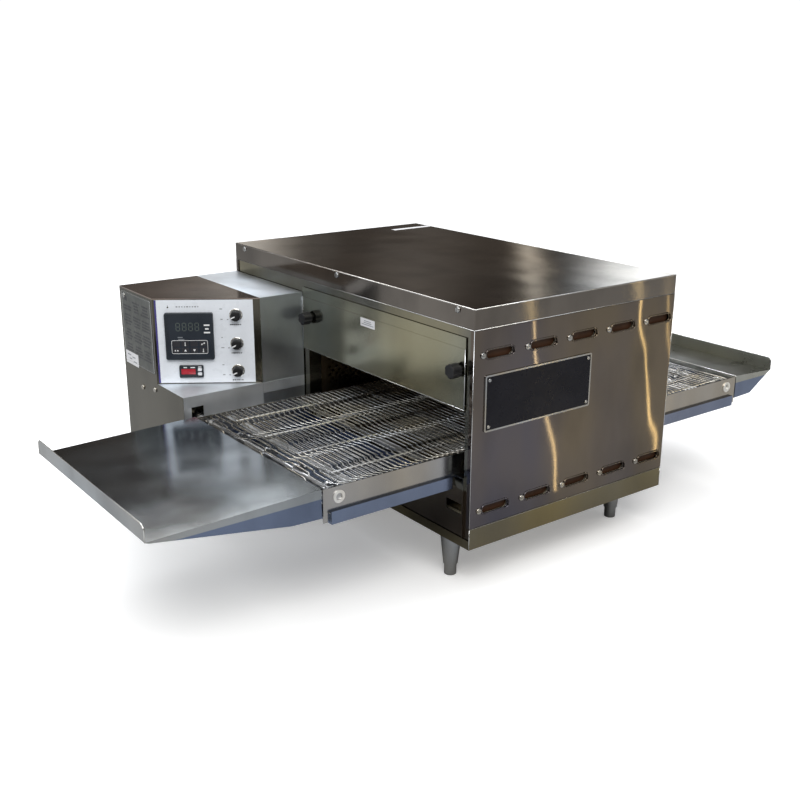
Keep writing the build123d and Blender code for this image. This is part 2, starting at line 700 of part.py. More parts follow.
def bushing(x, y, out):
    """Flanged bush: y is the outer face of the side plate, out is -1 or +1."""
    length = 2 * SIDE_T
    y_in, y_out = y - out * length, y + out * BUSH_FLANGE_T
    body = rod_y(x, min(y, y_in), max(y, y_in), SHAFT_Z, BUSH_R)
    flange = rod_y(x, min(y, y_out), max(y, y_out), SHAFT_Z, BUSH_FLANGE_R)
    bore = rod_y(x, min(y_in, y_out) - 1, max(y_in, y_out) + 1, SHAFT_Z, SHAFT_R + FIT)
    return body + flange - bore


def shaft_bushings():
    pieces = []
    for x in (SHAFT_X0, SHAFT_X1):
        pieces.append(bushing(x, CONV_Y0, -1))
        pieces.append(bushing(x, CONV_Y1, 1))
    return group(pieces)


def belt_support_frame():
    """Cross bars between the rails with rods along the belt welded on top."""
    y0, y1 = CONV_Y0 + 2 * SIDE_T, CONV_Y1 - 2 * SIDE_T
    rod_z0 = SHAFT_Z + BELT_R - BELT_T - END_CLEAR - SUPPORT_ROD_R
    frame = Part()
    first, last = SHAFT_X0 + SUPPORT_INSET, SHAFT_X1 - SUPPORT_INSET
    bar_top = rod_z0 - SUPPORT_ROD_R + 0.5
    for i in range(SUPPORT_BARS):
        x = first + (last - first) * i / (SUPPORT_BARS - 1)
        frame += slab(x - SUPPORT_BAR_W / 2, x + SUPPORT_BAR_W / 2, y0, y1, bar_top - SUPPORT_BAR_H, bar_top)
    for i in range(SUPPORT_RODS):
        y = y0 + (y1 - y0) * (i + 0.5) / SUPPORT_RODS
        frame += rod_x(first - 10, last + 10, y, rod_z0, SUPPORT_ROD_R)
    return frame


def belt_loop(r):
    """Outline round both shafts, as a face in the X-Z plane."""
    length = SHAFT_X1 - SHAFT_X0
    return Pos(length / 2 + SHAFT_X0, SHAFT_Z) * SlotCenterToCenter(length, 2 * r)


def wire_belt():
    y0, y1 = CONV_Y0 + 2 * SIDE_T + BELT_GAP, CONV_Y1 - 2 * SIDE_T - BELT_GAP
    plane = Plane(origin=(0, y1, 0), x_dir=(1, 0, 0), z_dir=(0, -1, 0))
    return extrude(plane * (belt_loop(BELT_R) - belt_loop(BELT_R - BELT_T)), y1 - y0)


def toothed_wheel(x, y0, y1, z, r, teeth, bore):
    wheel = rod_y(x, y0, y1, z, r)
    for i in range(teeth):
        angle = 2 * pi * i / teeth
        wheel -= rod_y(x + r * cos(angle), y0 - 1, y1 + 1, z + r * sin(angle), pi * r / teeth * 0.55)
    return wheel - rod_y(x, y0 - 1, y1 + 1, z, bore)


def belt_sprockets(x):
    y0, y1 = CONV_Y0 + 2 * SIDE_T + SPROCKET_INSET, CONV_Y1 - 2 * SIDE_T - SPROCKET_INSET
    r = BELT_R - BELT_T - RUN_GAP
    pieces = []
    for i in range(SPROCKETS):
        y = y0 + (y1 - y0) * i / (SPROCKETS - 1) - SPROCKET_W / 2
        pieces.append(toothed_wheel(x, y, y + SPROCKET_W, SHAFT_Z, r, SPROCKET_TEETH, SHAFT_R + FIT))
    return pieces


def drive_sprockets():
    chain_wheel = toothed_wheel(SHAFT_X0, CHAIN_Y, CHAIN_Y + CHAIN_W, SHAFT_Z, DRIVEN_R, DRIVEN_TEETH,
                                SHAFT_R + FIT)
    return group(belt_sprockets(SHAFT_X0) + [chain_wheel])


def idler_sprockets():
    return group(belt_sprockets(SHAFT_X1))


def drive_shaft():
    return rod_y(SHAFT_X0, CONV_Y0 + 1, CHAIN_Y + CHAIN_W + 8, SHAFT_Z, SHAFT_R)


def idler_shaft():
    return rod_y(SHAFT_X1, CONV_Y0 + 1, CONV_Y1 - 1, SHAFT_Z, SHAFT_R)


def motor_sprocket():
    """Small chain wheel, one piece with the gear motor's output shaft."""
    wheel = toothed_wheel(MOTOR_X, CHAIN_Y, CHAIN_Y + CHAIN_W, MOTOR_Z, DRIVER_R, DRIVER_TEETH, 1.0)
    return wheel + rod_y(MOTOR_X, CHAIN_Y - 3, GEARBOX_Y0 + 20, MOTOR_Z, SHAFT_R)


def chain_face(extra):
    """Chain outline: two circles and their common tangents, grown by extra."""
    big, small = DRIVEN_R + RUN_GAP + extra, DRIVER_R + RUN_GAP + extra
    dx, dz = MOTOR_X - SHAFT_X0, MOTOR_Z - SHAFT_Z
    distance = hypot(dx, dz)
    ux, uz = dx / distance, dz / distance
    lean = (big - small) / distance
    side = (1 - lean * lean) ** 0.5
    corners = []
    for sign in (1, -1):
        nx, nz = ux * lean - uz * side * sign, uz * lean + ux * side * sign
        start = (SHAFT_X0 + nx * big, SHAFT_Z + nz * big)
        end = (MOTOR_X + nx * small, MOTOR_Z + nz * small)
        corners += [start, end] if sign > 0 else [end, start]
    quad = make_face(Polyline(corners, close=True))
    return quad + Pos(SHAFT_X0, SHAFT_Z) * Circle(big) + Pos(MOTOR_X, MOTOR_Z) * Circle(small)


def drive_chain():
    plane = Plane(origin=(0, CHAIN_Y + CHAIN_W, 0), x_dir=(1, 0, 0), z_dir=(0, -1, 0))
    return extrude(plane * (chain_face(CHAIN_T) - chain_face(0)), CHAIN_W)


def gearmotor():
    box = slab(MOTOR_X - 42, MOTOR_X + 38, GEARBOX_Y0, GEARBOX_Y1, SHEET, MOTOR_Z + 42)
    box = fillet(box.edges().filter_by(Axis.Y), 6)
    body = rod_y(MOTOR_X - 2, GEARBOX_Y1, GEARBOX_Y1 + GEARMOTOR_L, MOTOR_Z, GEARMOTOR_R)
    foot = slab(MOTOR_X - 55, MOTOR_X + 51, GEARBOX_Y0, GEARBOX_Y1, SHEET, SHEET + 5)
    return box + body + foot - rod_y(MOTOR_X, GEARBOX_Y0 - 1, GEARBOX_Y0 + 24, MOTOR_Z, SHAFT_R + FIT)


def conveyor_brackets():
    """Gusseted brackets that carry the rails at the end openings, each with a folded upright."""
    top = RAIL_Z0
    low = BASE_END_H + SEAM
    arm_y = CONV_Y0 + 2 * SIDE_T + 4
    gusset = [(POST_Y, low), (POST_Y, top), (arm_y, top), (GUSSET_Y, PAN_Z + 2),
              (OPEN_Y0 + SEAM, GUSSET_Z), (OPEN_Y0 + SEAM, low)]
    near = along(gusset, END_INSET - POST_T, END_INSET)
    near += slab(-POST_PROUD, END_INSET, POST_Y, POST_Y + POST_T, low, top)
    near += slab(ARM_X0, END_INSET, OPEN_Y0 - POST_T, arm_y, top - POST_T, top)
    near += slab(ARM_X0, ARM_X1, OPEN_Y0 + END_CLEAR, arm_y, top - POST_T, top)
    far_y = CONV_Y0 + CONV_Y1
    far = mirror(near, about=Plane.XZ.offset(-far_y / 2))
    far += slab(ARM_X0, ARM_X1, far_y - arm_y, OPEN_Y1 - END_CLEAR, top - POST_T, top)
    return group([near, far, both_ends(near), both_ends(far)])


# ---- trays ----
def tray_outline(length):
    """Side skirt from the conveyor (x = 0) to the outer end, along -x."""
    top = SIDE_TOP + 1.5
    return [(0, top), (0, top - TRAY_SKIRT), (-TRAY_LEVEL, top - TRAY_SKIRT + 2),
            (-length + 6, top - TRAY_FALL - 3), (-length, top - TRAY_FALL - 0.5),
            (-length, top - TRAY_FALL)]


def exit_tray(length):
    """Level tray with tapered sides, a raised end and two hooks."""
    x_in = -CONV_OUT - TRAY_GAP
    top = SIDE_TOP + 1.5
    solid = across(tray_outline(length), CONV_Y0, CONV_Y1)
    hollow = Pos(0, 0, -SHEET) * across(
        [(-SHEET, top), (-SHEET, -50), (-length - 5, -50), (-length - 5, top - TRAY_FALL * (1 + 5 / length))],
        CONV_Y0 + SHEET, CONV_Y1 - SHEET)
    tray = solid - hollow
    end = slab(-length, -length + SHEET, CONV_Y0, CONV_Y1,
               top - TRAY_FALL - 0.5, top - TRAY_FALL + TRAY_FLANGE)
    end = fillet(end.edges().filter_by(Axis.X).group_by(Axis.Z)[-1], 10)
    tray += end
    bar_top = RAIL_Z0 + HOOK_BAR_H
    for y in (CONV_Y0 + 60, CONV_Y1 - 60 - HOOK_W):
        hook = slab(-SHEET, HOOK_L, y, y + HOOK_W, bar_top + SLIDE_GAP, bar_top + SLIDE_GAP + HOOK_T)
        hook += slab(HOOK_L - HOOK_T, HOOK_L, y, y + HOOK_W, bar_top - HOOK_DROP, bar_top + SLIDE_GAP)
        tray += hook
    return Pos(x_in, 0, 0) * tray


def left_exit_tray():
    return exit_tray(LEFT_TRAY)


def right_exit_tray():
    return both_ends(exit_tray(RIGHT_TRAY))


def left_crumb_tray():
    y0, y1 = CONV_Y0 - PAN_OUT, CONV_Y1 + PAN_OUT
    pan = slab(-PAN_X0, -PAN_X1, y0, y1, PAN_Z, PAN_Z + SHEET)
    near = (y0, y0 + SHEET, y0, CONV_Y0 - END_CLEAR)
    far = (y1 - SHEET, y1, CONV_Y1 + END_CLEAR, y1)
    for a, b, lip0, lip1 in (near, far):
        pan += slab(-PAN_X0, -PAN_X1, a, b, PAN_Z, PAN_TOP)
        pan += slab(-PAN_X0, -PAN_LIP_X1, lip0, lip1, PAN_TOP - SHEET, PAN_TOP)
    pan += slab(-PAN_X1 - SHEET, -PAN_X1, y0, y1, PAN_Z, PAN_Z + PAN_STEP)
    pan += slab(-PAN_X0, -PAN_X0 + SHEET, y0, y1, PAN_Z, PAN_Z + PAN_EDGE)
    return pan


def right_crumb_tray():
    return both_ends(left_crumb_tray())


# ---- control cabinet ----
def cabinet_prism(x1, grow):
    """The control box's outer form, shrunk by grow on the closed sides."""
    x0, y0, y1 = -CAB_X + grow, CAB_Y0 + grow, BODY_Y - grow
    lower = slab(x0, x1, y0, y1, -1 if grow else 0, LEDGE_Z - grow)
    step = grow * (FACE_LEN + CAB_CHAMFER) / (CAB_X - CAB_SPLIT)
    run = grow * (FACE_LEN + CAB_X - CAB_SPLIT) / CAB_CHAMFER
    split = -CAB_SPLIT - grow + (run if grow else 0)
    outline = [(x0, CAB_Y0 + CAB_CHAMFER + step - grow), (x0, y1), (x1, y1), (x1, y0)]
    if split < x1:
        outline.append((split, y0))
    floor_z = LEDGE_Z - 10
    upper = extrude(Pos(0, 0, floor_z) * make_face(Polyline(outline, close=True)), CAB_TOP - grow - floor_z)
    return lower + upper


def control_box_cover():
    shell = cabinet_prism(-CAB_SPLIT, 0) - cabinet_prism(-CAB_SPLIT + 30, SHEET)
    shell -= slab(-CAB_SPLIT, 40, CAB_Y0 - 1, BODY_Y + 1, -5, CAB_TOP + 5)
    window = Box(FACE_W - 2 * FACE_LAP, FACE_H - 2 * FACE_LAP, 8)
    shell -= on_face(FACE_S + FACE_W / 2, FACE_Z0 + FACE_H / 2, 0, window)
    shell -= rod_y(SHAFT_X0, CAB_Y0 - 2, CAB_Y0 + 4, SHAFT_Z, 12)
    shell -= rod_y(FAN_X, BODY_Y - 4, BODY_Y + 1, FAN_Z, FAN_R)
    for point in cabinet_screw_points():
        shell -= hole_x(point, SCREW_R + FIT)
    return shell


def side_cover():
    x0, x1 = -CAB_SPLIT, -END_CLEAR
    cover = slab(x0, x1, CAB_Y0, BODY_Y, 0, CAB_TOP)
    cover -= slab(x0 - 1, x1 + 1, CAB_Y0 + SHEET, BODY_Y - SHEET, -1, CAB_TOP - SHEET)
    return cover - rod_y(GLAND_X, BODY_Y - 4, BODY_Y + 1, GLAND_Z, GLAND_R + GLAND_WALL + FIT)


def cabinet_base():
    x0, x1 = -CAB_X + SHEET, -END_CLEAR
    y0, y1 = CAB_Y0 + SHEET, BODY_Y - SHEET
    base = slab(x0, x1, y0, y1, 0, SHEET)
    base += slab(x0, x0 + SHEET, y0, y1, 0, CAB_LIP) + slab(x0, x1, y0, y0 + SHEET, 0, CAB_LIP)
    base += slab(x0, x1, y1 - SHEET, y1, 0, CAB_LIP)
    for i in range(VENT_SLOTS):
        x = x0 + 20 + i * VENT_PITCH
        base -= slab(x, x + VENT_W, y1 - 100, y1 - 30, -1, SHEET + 1)
    for point in cabinet_screw_points():
        base -= hole_x(point, SCREW_R + FIT)
    return base


def fan_frame():
    y1 = BODY_Y - SHEET
    y0 = y1 - FAN_T
    half = FAN_SIZE / 2
    frame = slab(FAN_X - half, FAN_X + half, y0, y1, FAN_Z - half, FAN_Z + half)
    frame = fillet(frame.edges().filter_by(Axis.Y), 6)
    frame -= rod_y(FAN_X, y0 - 1, y1 + 1, FAN_Z, FAN_R)
    for i in range(4):
        spoke = slab(0, FAN_R + 2, y0, y0 + FAN_SPOKE_T, -2.5, 2.5)
        frame += Pos(FAN_X, 0, FAN_Z) * Rot(0, 45 + i * 90, 0) * spoke
    frame += rod_y(FAN_X, y0, y0 + FAN_SPOKE_T, FAN_Z, FAN_HUB_R - 1)
    frame += rod_y(FAN_X, y0 + FAN_SPOKE_T, y0 + 12, FAN_Z, FAN_PIN_R)
    return frame


def fan_rotor():
    y0 = BODY_Y - SHEET - FAN_T + FAN_SPOKE_T + 1
    rotor = rod_y(0, y0, y0 + FAN_ROTOR_T, 0, FAN_HUB_R)
    blade = Rot(38, 0, 0) * Box(FAN_BLADE_L, FAN_ROTOR_T, 1.6)
    blade = Pos(FAN_HUB_R + FAN_BLADE_L / 2 - 2.5, y0 + FAN_ROTOR_T / 2, 0) * blade
    for i in range(FAN_BLADES):
        rotor += Rot(0, i * 360 / FAN_BLADES, 0) * blade
    rotor -= rod_y(0, y0 - 1, y0 + 9, 0, FAN_PIN_R + FIT)
    return Pos(FAN_X, 0, FAN_Z) * rotor


def cable_gland():
    """Screwed gland where the supply lead would enter."""
    y1 = BODY_Y + GLAND_PROUD
    body = rod_y(GLAND_X, BODY_Y, y1, GLAND_Z, GLAND_HEAD_R)
    body = chamfer(body.edges().filter_by(GeomType.CIRCLE).sort_by(Axis.Y)[-1], 2)
    body += rod_y(GLAND_X, y1 - GLAND_L, BODY_Y, GLAND_Z, GLAND_R + GLAND_WALL)
    nut = Rot(-90, 0, 0) * extrude(RegularPolygon(NUT_R, 6), NUT_T)
    body += Pos(GLAND_X, BODY_Y, GLAND_Z) * nut
    return body - rod_y(GLAND_X, y1 - GLAND_L - 1, y1 + 1, GLAND_Z, GLAND_R)


def electrical_parts():
    """Terminal block, contactor, transformer and the three switch bodies."""
    terminal = slab(-70, -20, 700, 770, SHEET, 40)
    for i in range(4):
        terminal -= slab(-72, -18, 707 + i * 16, 715 + i * 16, 32, 41)
    contactor = slab(-75, -15, 600, 680, SHEET, 75) + slab(-65, -25, 610, 670, 75, 85)
    transformer = slab(-250, -190, 760, 800, SHEET, 60)
    pieces = [terminal, contactor, transformer]
    under = (Align.CENTER, Align.CENTER, Align.MAX)
    for z in DIAL_Z:
        case = Pos(0, 0, -6) * Box(SWITCH_CASE, SWITCH_CASE, SWITCH_CASE, align=under)
        case -= Pos(0, 0, 10) * Cylinder(DIAL_STEM_R + FIT, 30, align=under)
        pieces.append(on_face(DIAL_S, z, 0, case))
    return group(pieces)


def faceplate():
    plate = Box(FACE_W, FACE_H, FACE_T, align=(Align.MIN, Align.MIN, Align.MIN))
    cut = CTRL_BODY + CUT_PLAY
    plate -= Pos(CTRL_S - FACE_S, CTRL_Z - FACE_Z0, 0) * Box(cut, cut, 10)
    wide, high, _ = MODULE_BODY
    plate -= Pos(CTRL_S - FACE_S, MODULE_Z - FACE_Z0, 0) * Box(wide + CUT_PLAY, high + CUT_PLAY, 10)
    for z in DIAL_Z:
        plate -= Pos(DIAL_S - FACE_S, z - FACE_Z0, 0) * Cylinder(DIAL_STEM_R + 1, 10)
    return on_face(FACE_S, FACE_Z0, 0, plate)


def temperature_controller():
    bezel = Box(CTRL, CTRL, BEZEL_T, align=(Align.CENTER, Align.CENTER, Align.MIN))
    bezel = fillet(bezel.edges().filter_by(Axis.Z), 4)
    bezel = fillet(bezel.edges().group_by(Axis.Z)[-1], 1.5)
    bezel -= Pos(0, 0, BEZEL_T) * Box(CTRL - 2 * BEZEL_RIM, CTRL - 2 * BEZEL_RIM, BEZEL_DIP)
    body = Box(CTRL_BODY, CTRL_BODY, CTRL_DEEP, align=(Align.CENTER, Align.CENTER, Align.MAX))
    return on_face(CTRL_S, CTRL_Z, FACE_T, bezel + body)


def limit_module():
    bezel = Box(MODULE_W, MODULE_H, MODULE_T, align=(Align.CENTER, Align.CENTER, Align.MIN))
    bezel = fillet(bezel.edges().filter_by(Axis.Z), 2)
    bezel -= Pos(MODULE_WINDOW_DX, 0, MODULE_T) * Box(*MODULE_WINDOW, BEZEL_DIP)
    body = Box(*MODULE_BODY, align=(Align.CENTER, Align.CENTER, Align.MAX))
    module = bezel + body
    for dz in (-BUTTON_DZ, BUTTON_DZ):
        well = Box(BUTTON_W + 2 * FACE_GAP, BUTTON_H + 2 * FACE_GAP, 10)
        module -= Pos(BUTTON_DX, dz, 6) * well
    return on_face(CTRL_S, MODULE_Z, FACE_T, module)


def module_button(dz):
    cap = Box(BUTTON_W, BUTTON_H, BUTTON_L, align=(Align.CENTER, Align.CENTER, Align.MIN))
    cap = fillet(cap.edges().filter_by(Axis.Z), 1.8)
    cap = fillet(cap.edges().group_by(Axis.Z)[-1], 0.6)
    return on_face(CTRL_S + BUTTON_DX, MODULE_Z + dz, FACE_T + 1 + BUTTON_TRAVEL + FACE_GAP, cap)


def switch_knob(z):
    """Round knob with a bright ring at its foot and a raised pointer."""
    ring = Cylinder(DIAL_RING_R, DIAL_RING_T, align=(Align.CENTER, Align.CENTER, Align.MIN))
    grip = Cylinder(DIAL_R, DIAL_H, align=(Align.CENTER, Align.CENTER, Align.MIN))
    grip = fillet(grip.edges().group_by(Axis.Z)[-1], 1.5)
    pointer = Rot(0, 0, DIAL_REST) * Pos(DIAL_R / 2 - 0.5, 0, DIAL_H) * Box(DIAL_R - 2, 2, 1.2)
    stem = Cylinder(DIAL_STEM_R, DIAL_STEM_L, align=(Align.CENTER, Align.CENTER, Align.MAX))
    return on_face(DIAL_S, z, FACE_T + FACE_GAP, ring + grip + pointer + stem)


# ---- badge, screws, legs ----
def badge_plate():
    x0, x1, z0, z1 = BADGE_X0, BADGE_X0 + BADGE_W, BADGE_Z0, BADGE_Z0 + BADGE_H
    plate = slab(x0, x1, -BADGE_T, 0, z0, z1)
    plate = fillet(plate.edges().filter_by(Axis.Y), 4)
    plate -= slab(x0 + BADGE_RIM, x1 - BADGE_RIM, -BADGE_T - 1, -BADGE_T + BADGE_DIP,
                  z0 + BADGE_RIM, z1 - BADGE_RIM)
    rivets = []
    for x in (x0 + RIVET_INSET, x1 - RIVET_INSET):
        for z in (z0 + RIVET_INSET, z1 - RIVET_INSET):
            rivet = rod_y(x, -BADGE_T - RIVET_H, -BADGE_T + BADGE_DIP, z, RIVET_R)
            rivets.append(fillet(rivet.edges().filter_by(GeomType.CIRCLE).sort_by(Axis.Y)[0], 1.2))
    return group([plate] + rivets)


def panel_screws():
    pieces = [screw(p, "y", -1) for p in front_screw_points()]
    pieces += [screw(p, "y", 1) for p in rear_screw_points()]
    pieces += [screw(p, "x", -1) for p in lid_screw_points() + cabinet_screw_points()]
    pieces += [screw((BODY_X, *p[1:]), "x", 1) for p in lid_screw_points()]
    return group(pieces)


def leg_points():
    return [(x, y) for x in (LEG_X, BODY_X - LEG_X) for y in (LEG_Y, BODY_Y - LEG_Y)]


def leg_sockets():
    legs = []
    low = -LEG_H + FOOT_H
    base = (Align.CENTER, Align.CENTER, Align.MIN)
    for x, y in leg_points():
        cone = Pos(x, y, low) * Cone(LEG_LOW_R, LEG_TOP_R, -low, align=base)
        cone += rod_z(x, y, -1, LEG_PIN_L, LEG_PIN_R - FIT)
        cone -= rod_z(x, y, low - 1, low + FOOT_STEM_L + 3, FOOT_STEM_R + FIT)
        legs.append(cone)
    return group(legs)


def foot(x, y):
    pad = rod_z(x, y, -LEG_H, -LEG_H + FOOT_H - FACE_GAP, FOOT_R)
    pad = fillet(pad.edges().group_by(Axis.Z)[0], 1.5)
    top = -LEG_H + FOOT_H - FACE_GAP
    return pad + rod_z(x, y, top, top + FOOT_STEM_L, FOOT_STEM_R)


PIECES = {
    "base_pan": base_pan,
    "front_panel": front_panel,
    "rear_panel": rear_panel,
    "top_cover": top_cover,
    "left_end_plate": lambda: left_end_plate() - cabinet_wire_way(),
    "right_end_plate": right_end_plate,
    "chamber_liner": chamber_liner,
    "return_air_plate": return_air_plate,
    "air_fingers": air_fingers,
    "plenum_housing": plenum_housing,
    "heating_elements": heating_elements,
    "blower_wheel": blower_wheel,
    "blower_shaft": blower_shaft,
    "blower_motor": blower_motor,
    "insulation": insulation,
    "left_end_panel": left_end_panel,
    "right_end_panel": right_end_panel,
    "left_panel_knob_front": lambda: panel_knob(KNOB_Y[0]),
    "left_panel_knob_rear": lambda: panel_knob(KNOB_Y[1]),
    "right_panel_knob_front": lambda: both_ends(panel_knob(KNOB_Y[0])),
    "right_panel_knob_rear": lambda: both_ends(panel_knob(KNOB_Y[1])),
    "conveyor_frame": conveyor_frame,
    "skirt_plates": skirt_plates,
    "shaft_bushings": shaft_bushings,
    "belt_support_frame": belt_support_frame,
    "wire_belt": wire_belt,
    "drive_shaft": drive_shaft,
    "drive_sprockets": drive_sprockets,
    "idler_shaft": idler_shaft,
    "idler_sprockets": idler_sprockets,
    "drive_chain": drive_chain,
    "motor_sprocket": motor_sprocket,
    "gearmotor": gearmotor,
    "conveyor_brackets": conveyor_brackets,
    "left_exit_tray": left_exit_tray,
    "right_exit_tray": right_exit_tray,
    "left_crumb_tray": left_crumb_tray,
    "right_crumb_tray": right_crumb_tray,
    "control_box_cover": control_box_cover,
    "side_cover": side_cover,
    "cabinet_base": cabinet_base,
    "fan_frame": fan_frame,
    "fan_rotor": fan_rotor,
    "cable_gland": cable_gland,
    "electrical_parts": electrical_parts,
    "faceplate": faceplate,
    "temperature_controller": temperature_controller,
    "limit_module": limit_module,
    "module_button_upper": lambda: module_button(BUTTON_DZ),
    "module_button_lower": lambda: module_button(-BUTTON_DZ),
    "blower_switch_knob": lambda: switch_knob(DIAL_Z[0]),
    "heat_switch_knob": lambda: switch_knob(DIAL_Z[1]),
    "conveyor_switch_knob": lambda: switch_knob(DIAL_Z[2]),
    "badge_plate": badge_plate,
    "panel_screws": panel_screws,
    "leg_sockets": leg_sockets,
    "foot_front_left": lambda: foot(LEG_X, LEG_Y),
    "foot_front_right": lambda: foot(BODY_X - LEG_X, LEG_Y),
    "foot_rear_left": lambda: foot(LEG_X, BODY_Y - LEG_Y),
    "foot_rear_right": lambda: foot(BODY_X - LEG_X, BODY_Y - LEG_Y),
}

os.makedirs("parts", exist_ok=True)
for piece_name, make in PIECES.items():
    save(piece_name, make())
    print(piece_name)
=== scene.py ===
import json
from math import cos, pi, radians, sin

import bmesh
import bpy
from bpy.props import FloatProperty, FloatVectorProperty, IntProperty, PointerProperty
from mathutils import Matrix, Vector


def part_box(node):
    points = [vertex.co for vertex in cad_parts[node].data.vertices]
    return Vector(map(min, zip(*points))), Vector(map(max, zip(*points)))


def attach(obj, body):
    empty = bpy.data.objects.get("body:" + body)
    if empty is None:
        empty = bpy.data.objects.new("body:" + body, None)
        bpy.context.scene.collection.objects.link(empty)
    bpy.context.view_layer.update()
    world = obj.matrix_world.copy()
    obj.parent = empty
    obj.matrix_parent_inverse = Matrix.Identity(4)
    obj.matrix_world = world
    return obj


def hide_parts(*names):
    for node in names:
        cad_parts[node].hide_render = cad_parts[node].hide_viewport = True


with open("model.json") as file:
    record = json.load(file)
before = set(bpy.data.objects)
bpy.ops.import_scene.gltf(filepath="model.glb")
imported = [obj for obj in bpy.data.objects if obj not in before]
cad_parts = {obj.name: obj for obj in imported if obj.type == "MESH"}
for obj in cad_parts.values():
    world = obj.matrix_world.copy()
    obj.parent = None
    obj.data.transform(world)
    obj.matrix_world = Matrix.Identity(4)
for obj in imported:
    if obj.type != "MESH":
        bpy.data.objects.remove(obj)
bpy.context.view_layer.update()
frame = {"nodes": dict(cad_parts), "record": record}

bl_info = {
    "name": "Countertop conveyor oven",
    "version": (1, 0, 0),
    "blender": (4, 5, 0),
    "location": "View3D > Sidebar > Oven",
    "description": "Wire belt, pressed slots, control face, labels and finishes of a conveyor oven",
    "category": "Object",
}

MM = 0.001
NODES = frame["nodes"]
JOINTS = {j["name"]: j for j in frame["record"]["behaviour"]["joints"]}
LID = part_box("top_cover")
BODY = Vector((LID[0].x, LID[0].y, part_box("base_pan")[0].z))
ROOT = "oven"


def at(x, y, z):
    """A point in millimetres from the oven body's front left bottom corner, as a frame position."""
    return BODY + Vector((x, y, z)) * MM


def span(node, direction):
    """Lowest and highest reach of a node along a direction, in metres."""
    d = Vector(direction).normalized()
    reach = [v.co.dot(d) for v in NODES[node].data.vertices]
    return min(reach), max(reach)


# The control face's own frame: x along it, y up, z outwards, origin at its lower left front corner.
FACE_OUT = Vector(JOINTS["heat_switch_turn"]["axis"]).normalized()
FACE_SIDE = Vector((0, 0, 1)).cross(FACE_OUT)
FACE_ORIGIN = (FACE_SIDE * span("faceplate", FACE_SIDE)[0] + FACE_OUT * span("faceplate", FACE_OUT)[1]
               + Vector((0, 0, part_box("faceplate")[0].z)))
FACE = Matrix.Translation(FACE_ORIGIN) @ Matrix((
    (FACE_SIDE.x, 0, FACE_OUT.x, 0), (FACE_SIDE.y, 0, FACE_OUT.y, 0), (0, 1, 0, 0), (0, 0, 0, 1)))


def on_face(node):
    """Centre (x, y) and front (z) of a node in the control face's frame, in metres."""
    s = span(node, FACE_SIDE)
    z = span(node, (0, 0, 1))
    out = span(node, FACE_OUT)[1] - FACE_ORIGIN.dot(FACE_OUT)
    return (sum(s) / 2 - FACE_ORIGIN.dot(FACE_SIDE), sum(z) / 2 - FACE_ORIGIN.z, out)


def facing(axis, origin):
    """A frame whose z points along -Y ('front') or -X ('left'), x to the viewer's right, y up."""
    side = {"front": Vector((1, 0, 0)), "left": Vector((0, -1, 0))}[axis]
    up = Vector((0, 0, 1))
    out = side.cross(up)
    turn = Matrix((side, up, out)).transposed().to_4x4()
    return Matrix.Translation(origin) @ turn


# ---------------------------------------------------------------- settings

class BeltSizes(bpy.types.PropertyGroup):
    rods: IntProperty(name="Rods", description="Cross wires round the whole belt", default=186, min=20)
    strands: IntProperty(name="Strands", description="Bays across the belt between rows of joggles",
                         default=6, min=2)
    wire: FloatProperty(name="Wire radius", description="Radius of the belt's wire", default=0.00100,
                        unit="LENGTH")
    step: FloatProperty(name="Joggle", description="Half of the step in each cross wire", default=0.0026,
                        unit="LENGTH")


class PanelSizes(bpy.types.PropertyGroup):
    columns: IntProperty(name="Slots in a row", description="Pressed slots along the long face", default=5)
    # the folded-edge beads carry a painted highlight in their bright finish
    bead: FloatProperty(name="Bead radius", description="Radius of the bright folded edges", default=0.0007,
                        unit="LENGTH")
    rim: FloatProperty(name="Slot rim", description="Radius of the rolled rim round each slot",
                       default=0.0012,
                       unit="LENGTH")


class PrintSizes(bpy.types.PropertyGroup):
    film: FloatProperty(name="Print thickness", description="Height of printed marks", default=0.00015,
                        unit="LENGTH")
    seed: IntProperty(name="Seed", description="Seed for the lengths of the printed lines", default=7)


class Finishes(bpy.types.PropertyGroup):
    warm: FloatVectorProperty(name="Warm steel", description="Warm patches of the sheet", subtype="COLOR",
                              size=3, default=(0.185, 0.150, 0.108), min=0, max=1)
    cool: FloatVectorProperty(name="Cool steel", description="Cool patches of the sheet", subtype="COLOR",
                              size=3, default=(0.112, 0.108, 0.134), min=0, max=1)
    face: FloatVectorProperty(name="Control face", description="Printed control face", subtype="COLOR",
                              size=3, default=(0.80, 0.84, 0.90), min=0, max=1)
    window: FloatVectorProperty(name="Display window", description="Red window of the small module",
                                subtype="COLOR", size=3, default=(0.42, 0.015, 0.03), min=0, max=1)
    floor: FloatVectorProperty(name="Floor", description="Studio floor", subtype="COLOR",
                               size=3, default=(0.93, 0.93, 0.93), min=0, max=1)


def setting(group):
    return getattr(bpy.context.scene, "oven_" + group)


# ---------------------------------------------------------------- finishes

def shader(name):
    """A new material's node tree, principled shader and Object coordinates."""
    mat = bpy.data.materials.new(name)
    mat.use_nodes = True
    tree = mat.node_tree
    return tree, tree.nodes["Principled BSDF"], tree.nodes.new("ShaderNodeTexCoord").outputs["Object"]


def put(node, **values):
    """Sets a node's properties (plain names) and inputs (names with _ for spaces, or in_0)."""
    for key, value in values.items():
        if hasattr(node, key):
            setattr(node, key, value)
            continue
        socket = node.inputs[int(key[3:]) if key.startswith("in_") else key.replace("_", " ")]
        if isinstance(value, bpy.types.NodeSocket):
            node.id_data.links.new(value, socket)
        else:
            socket.default_value = value
    return node


def add(tree, kind, **values):
    return put(tree.nodes.new(kind), **values)


def sums(tree, operation, a, b=0.0, c=0.0):
    return add(tree, "ShaderNodeMath", operation=operation, in_0=a, in_1=b, in_2=c).outputs[0]


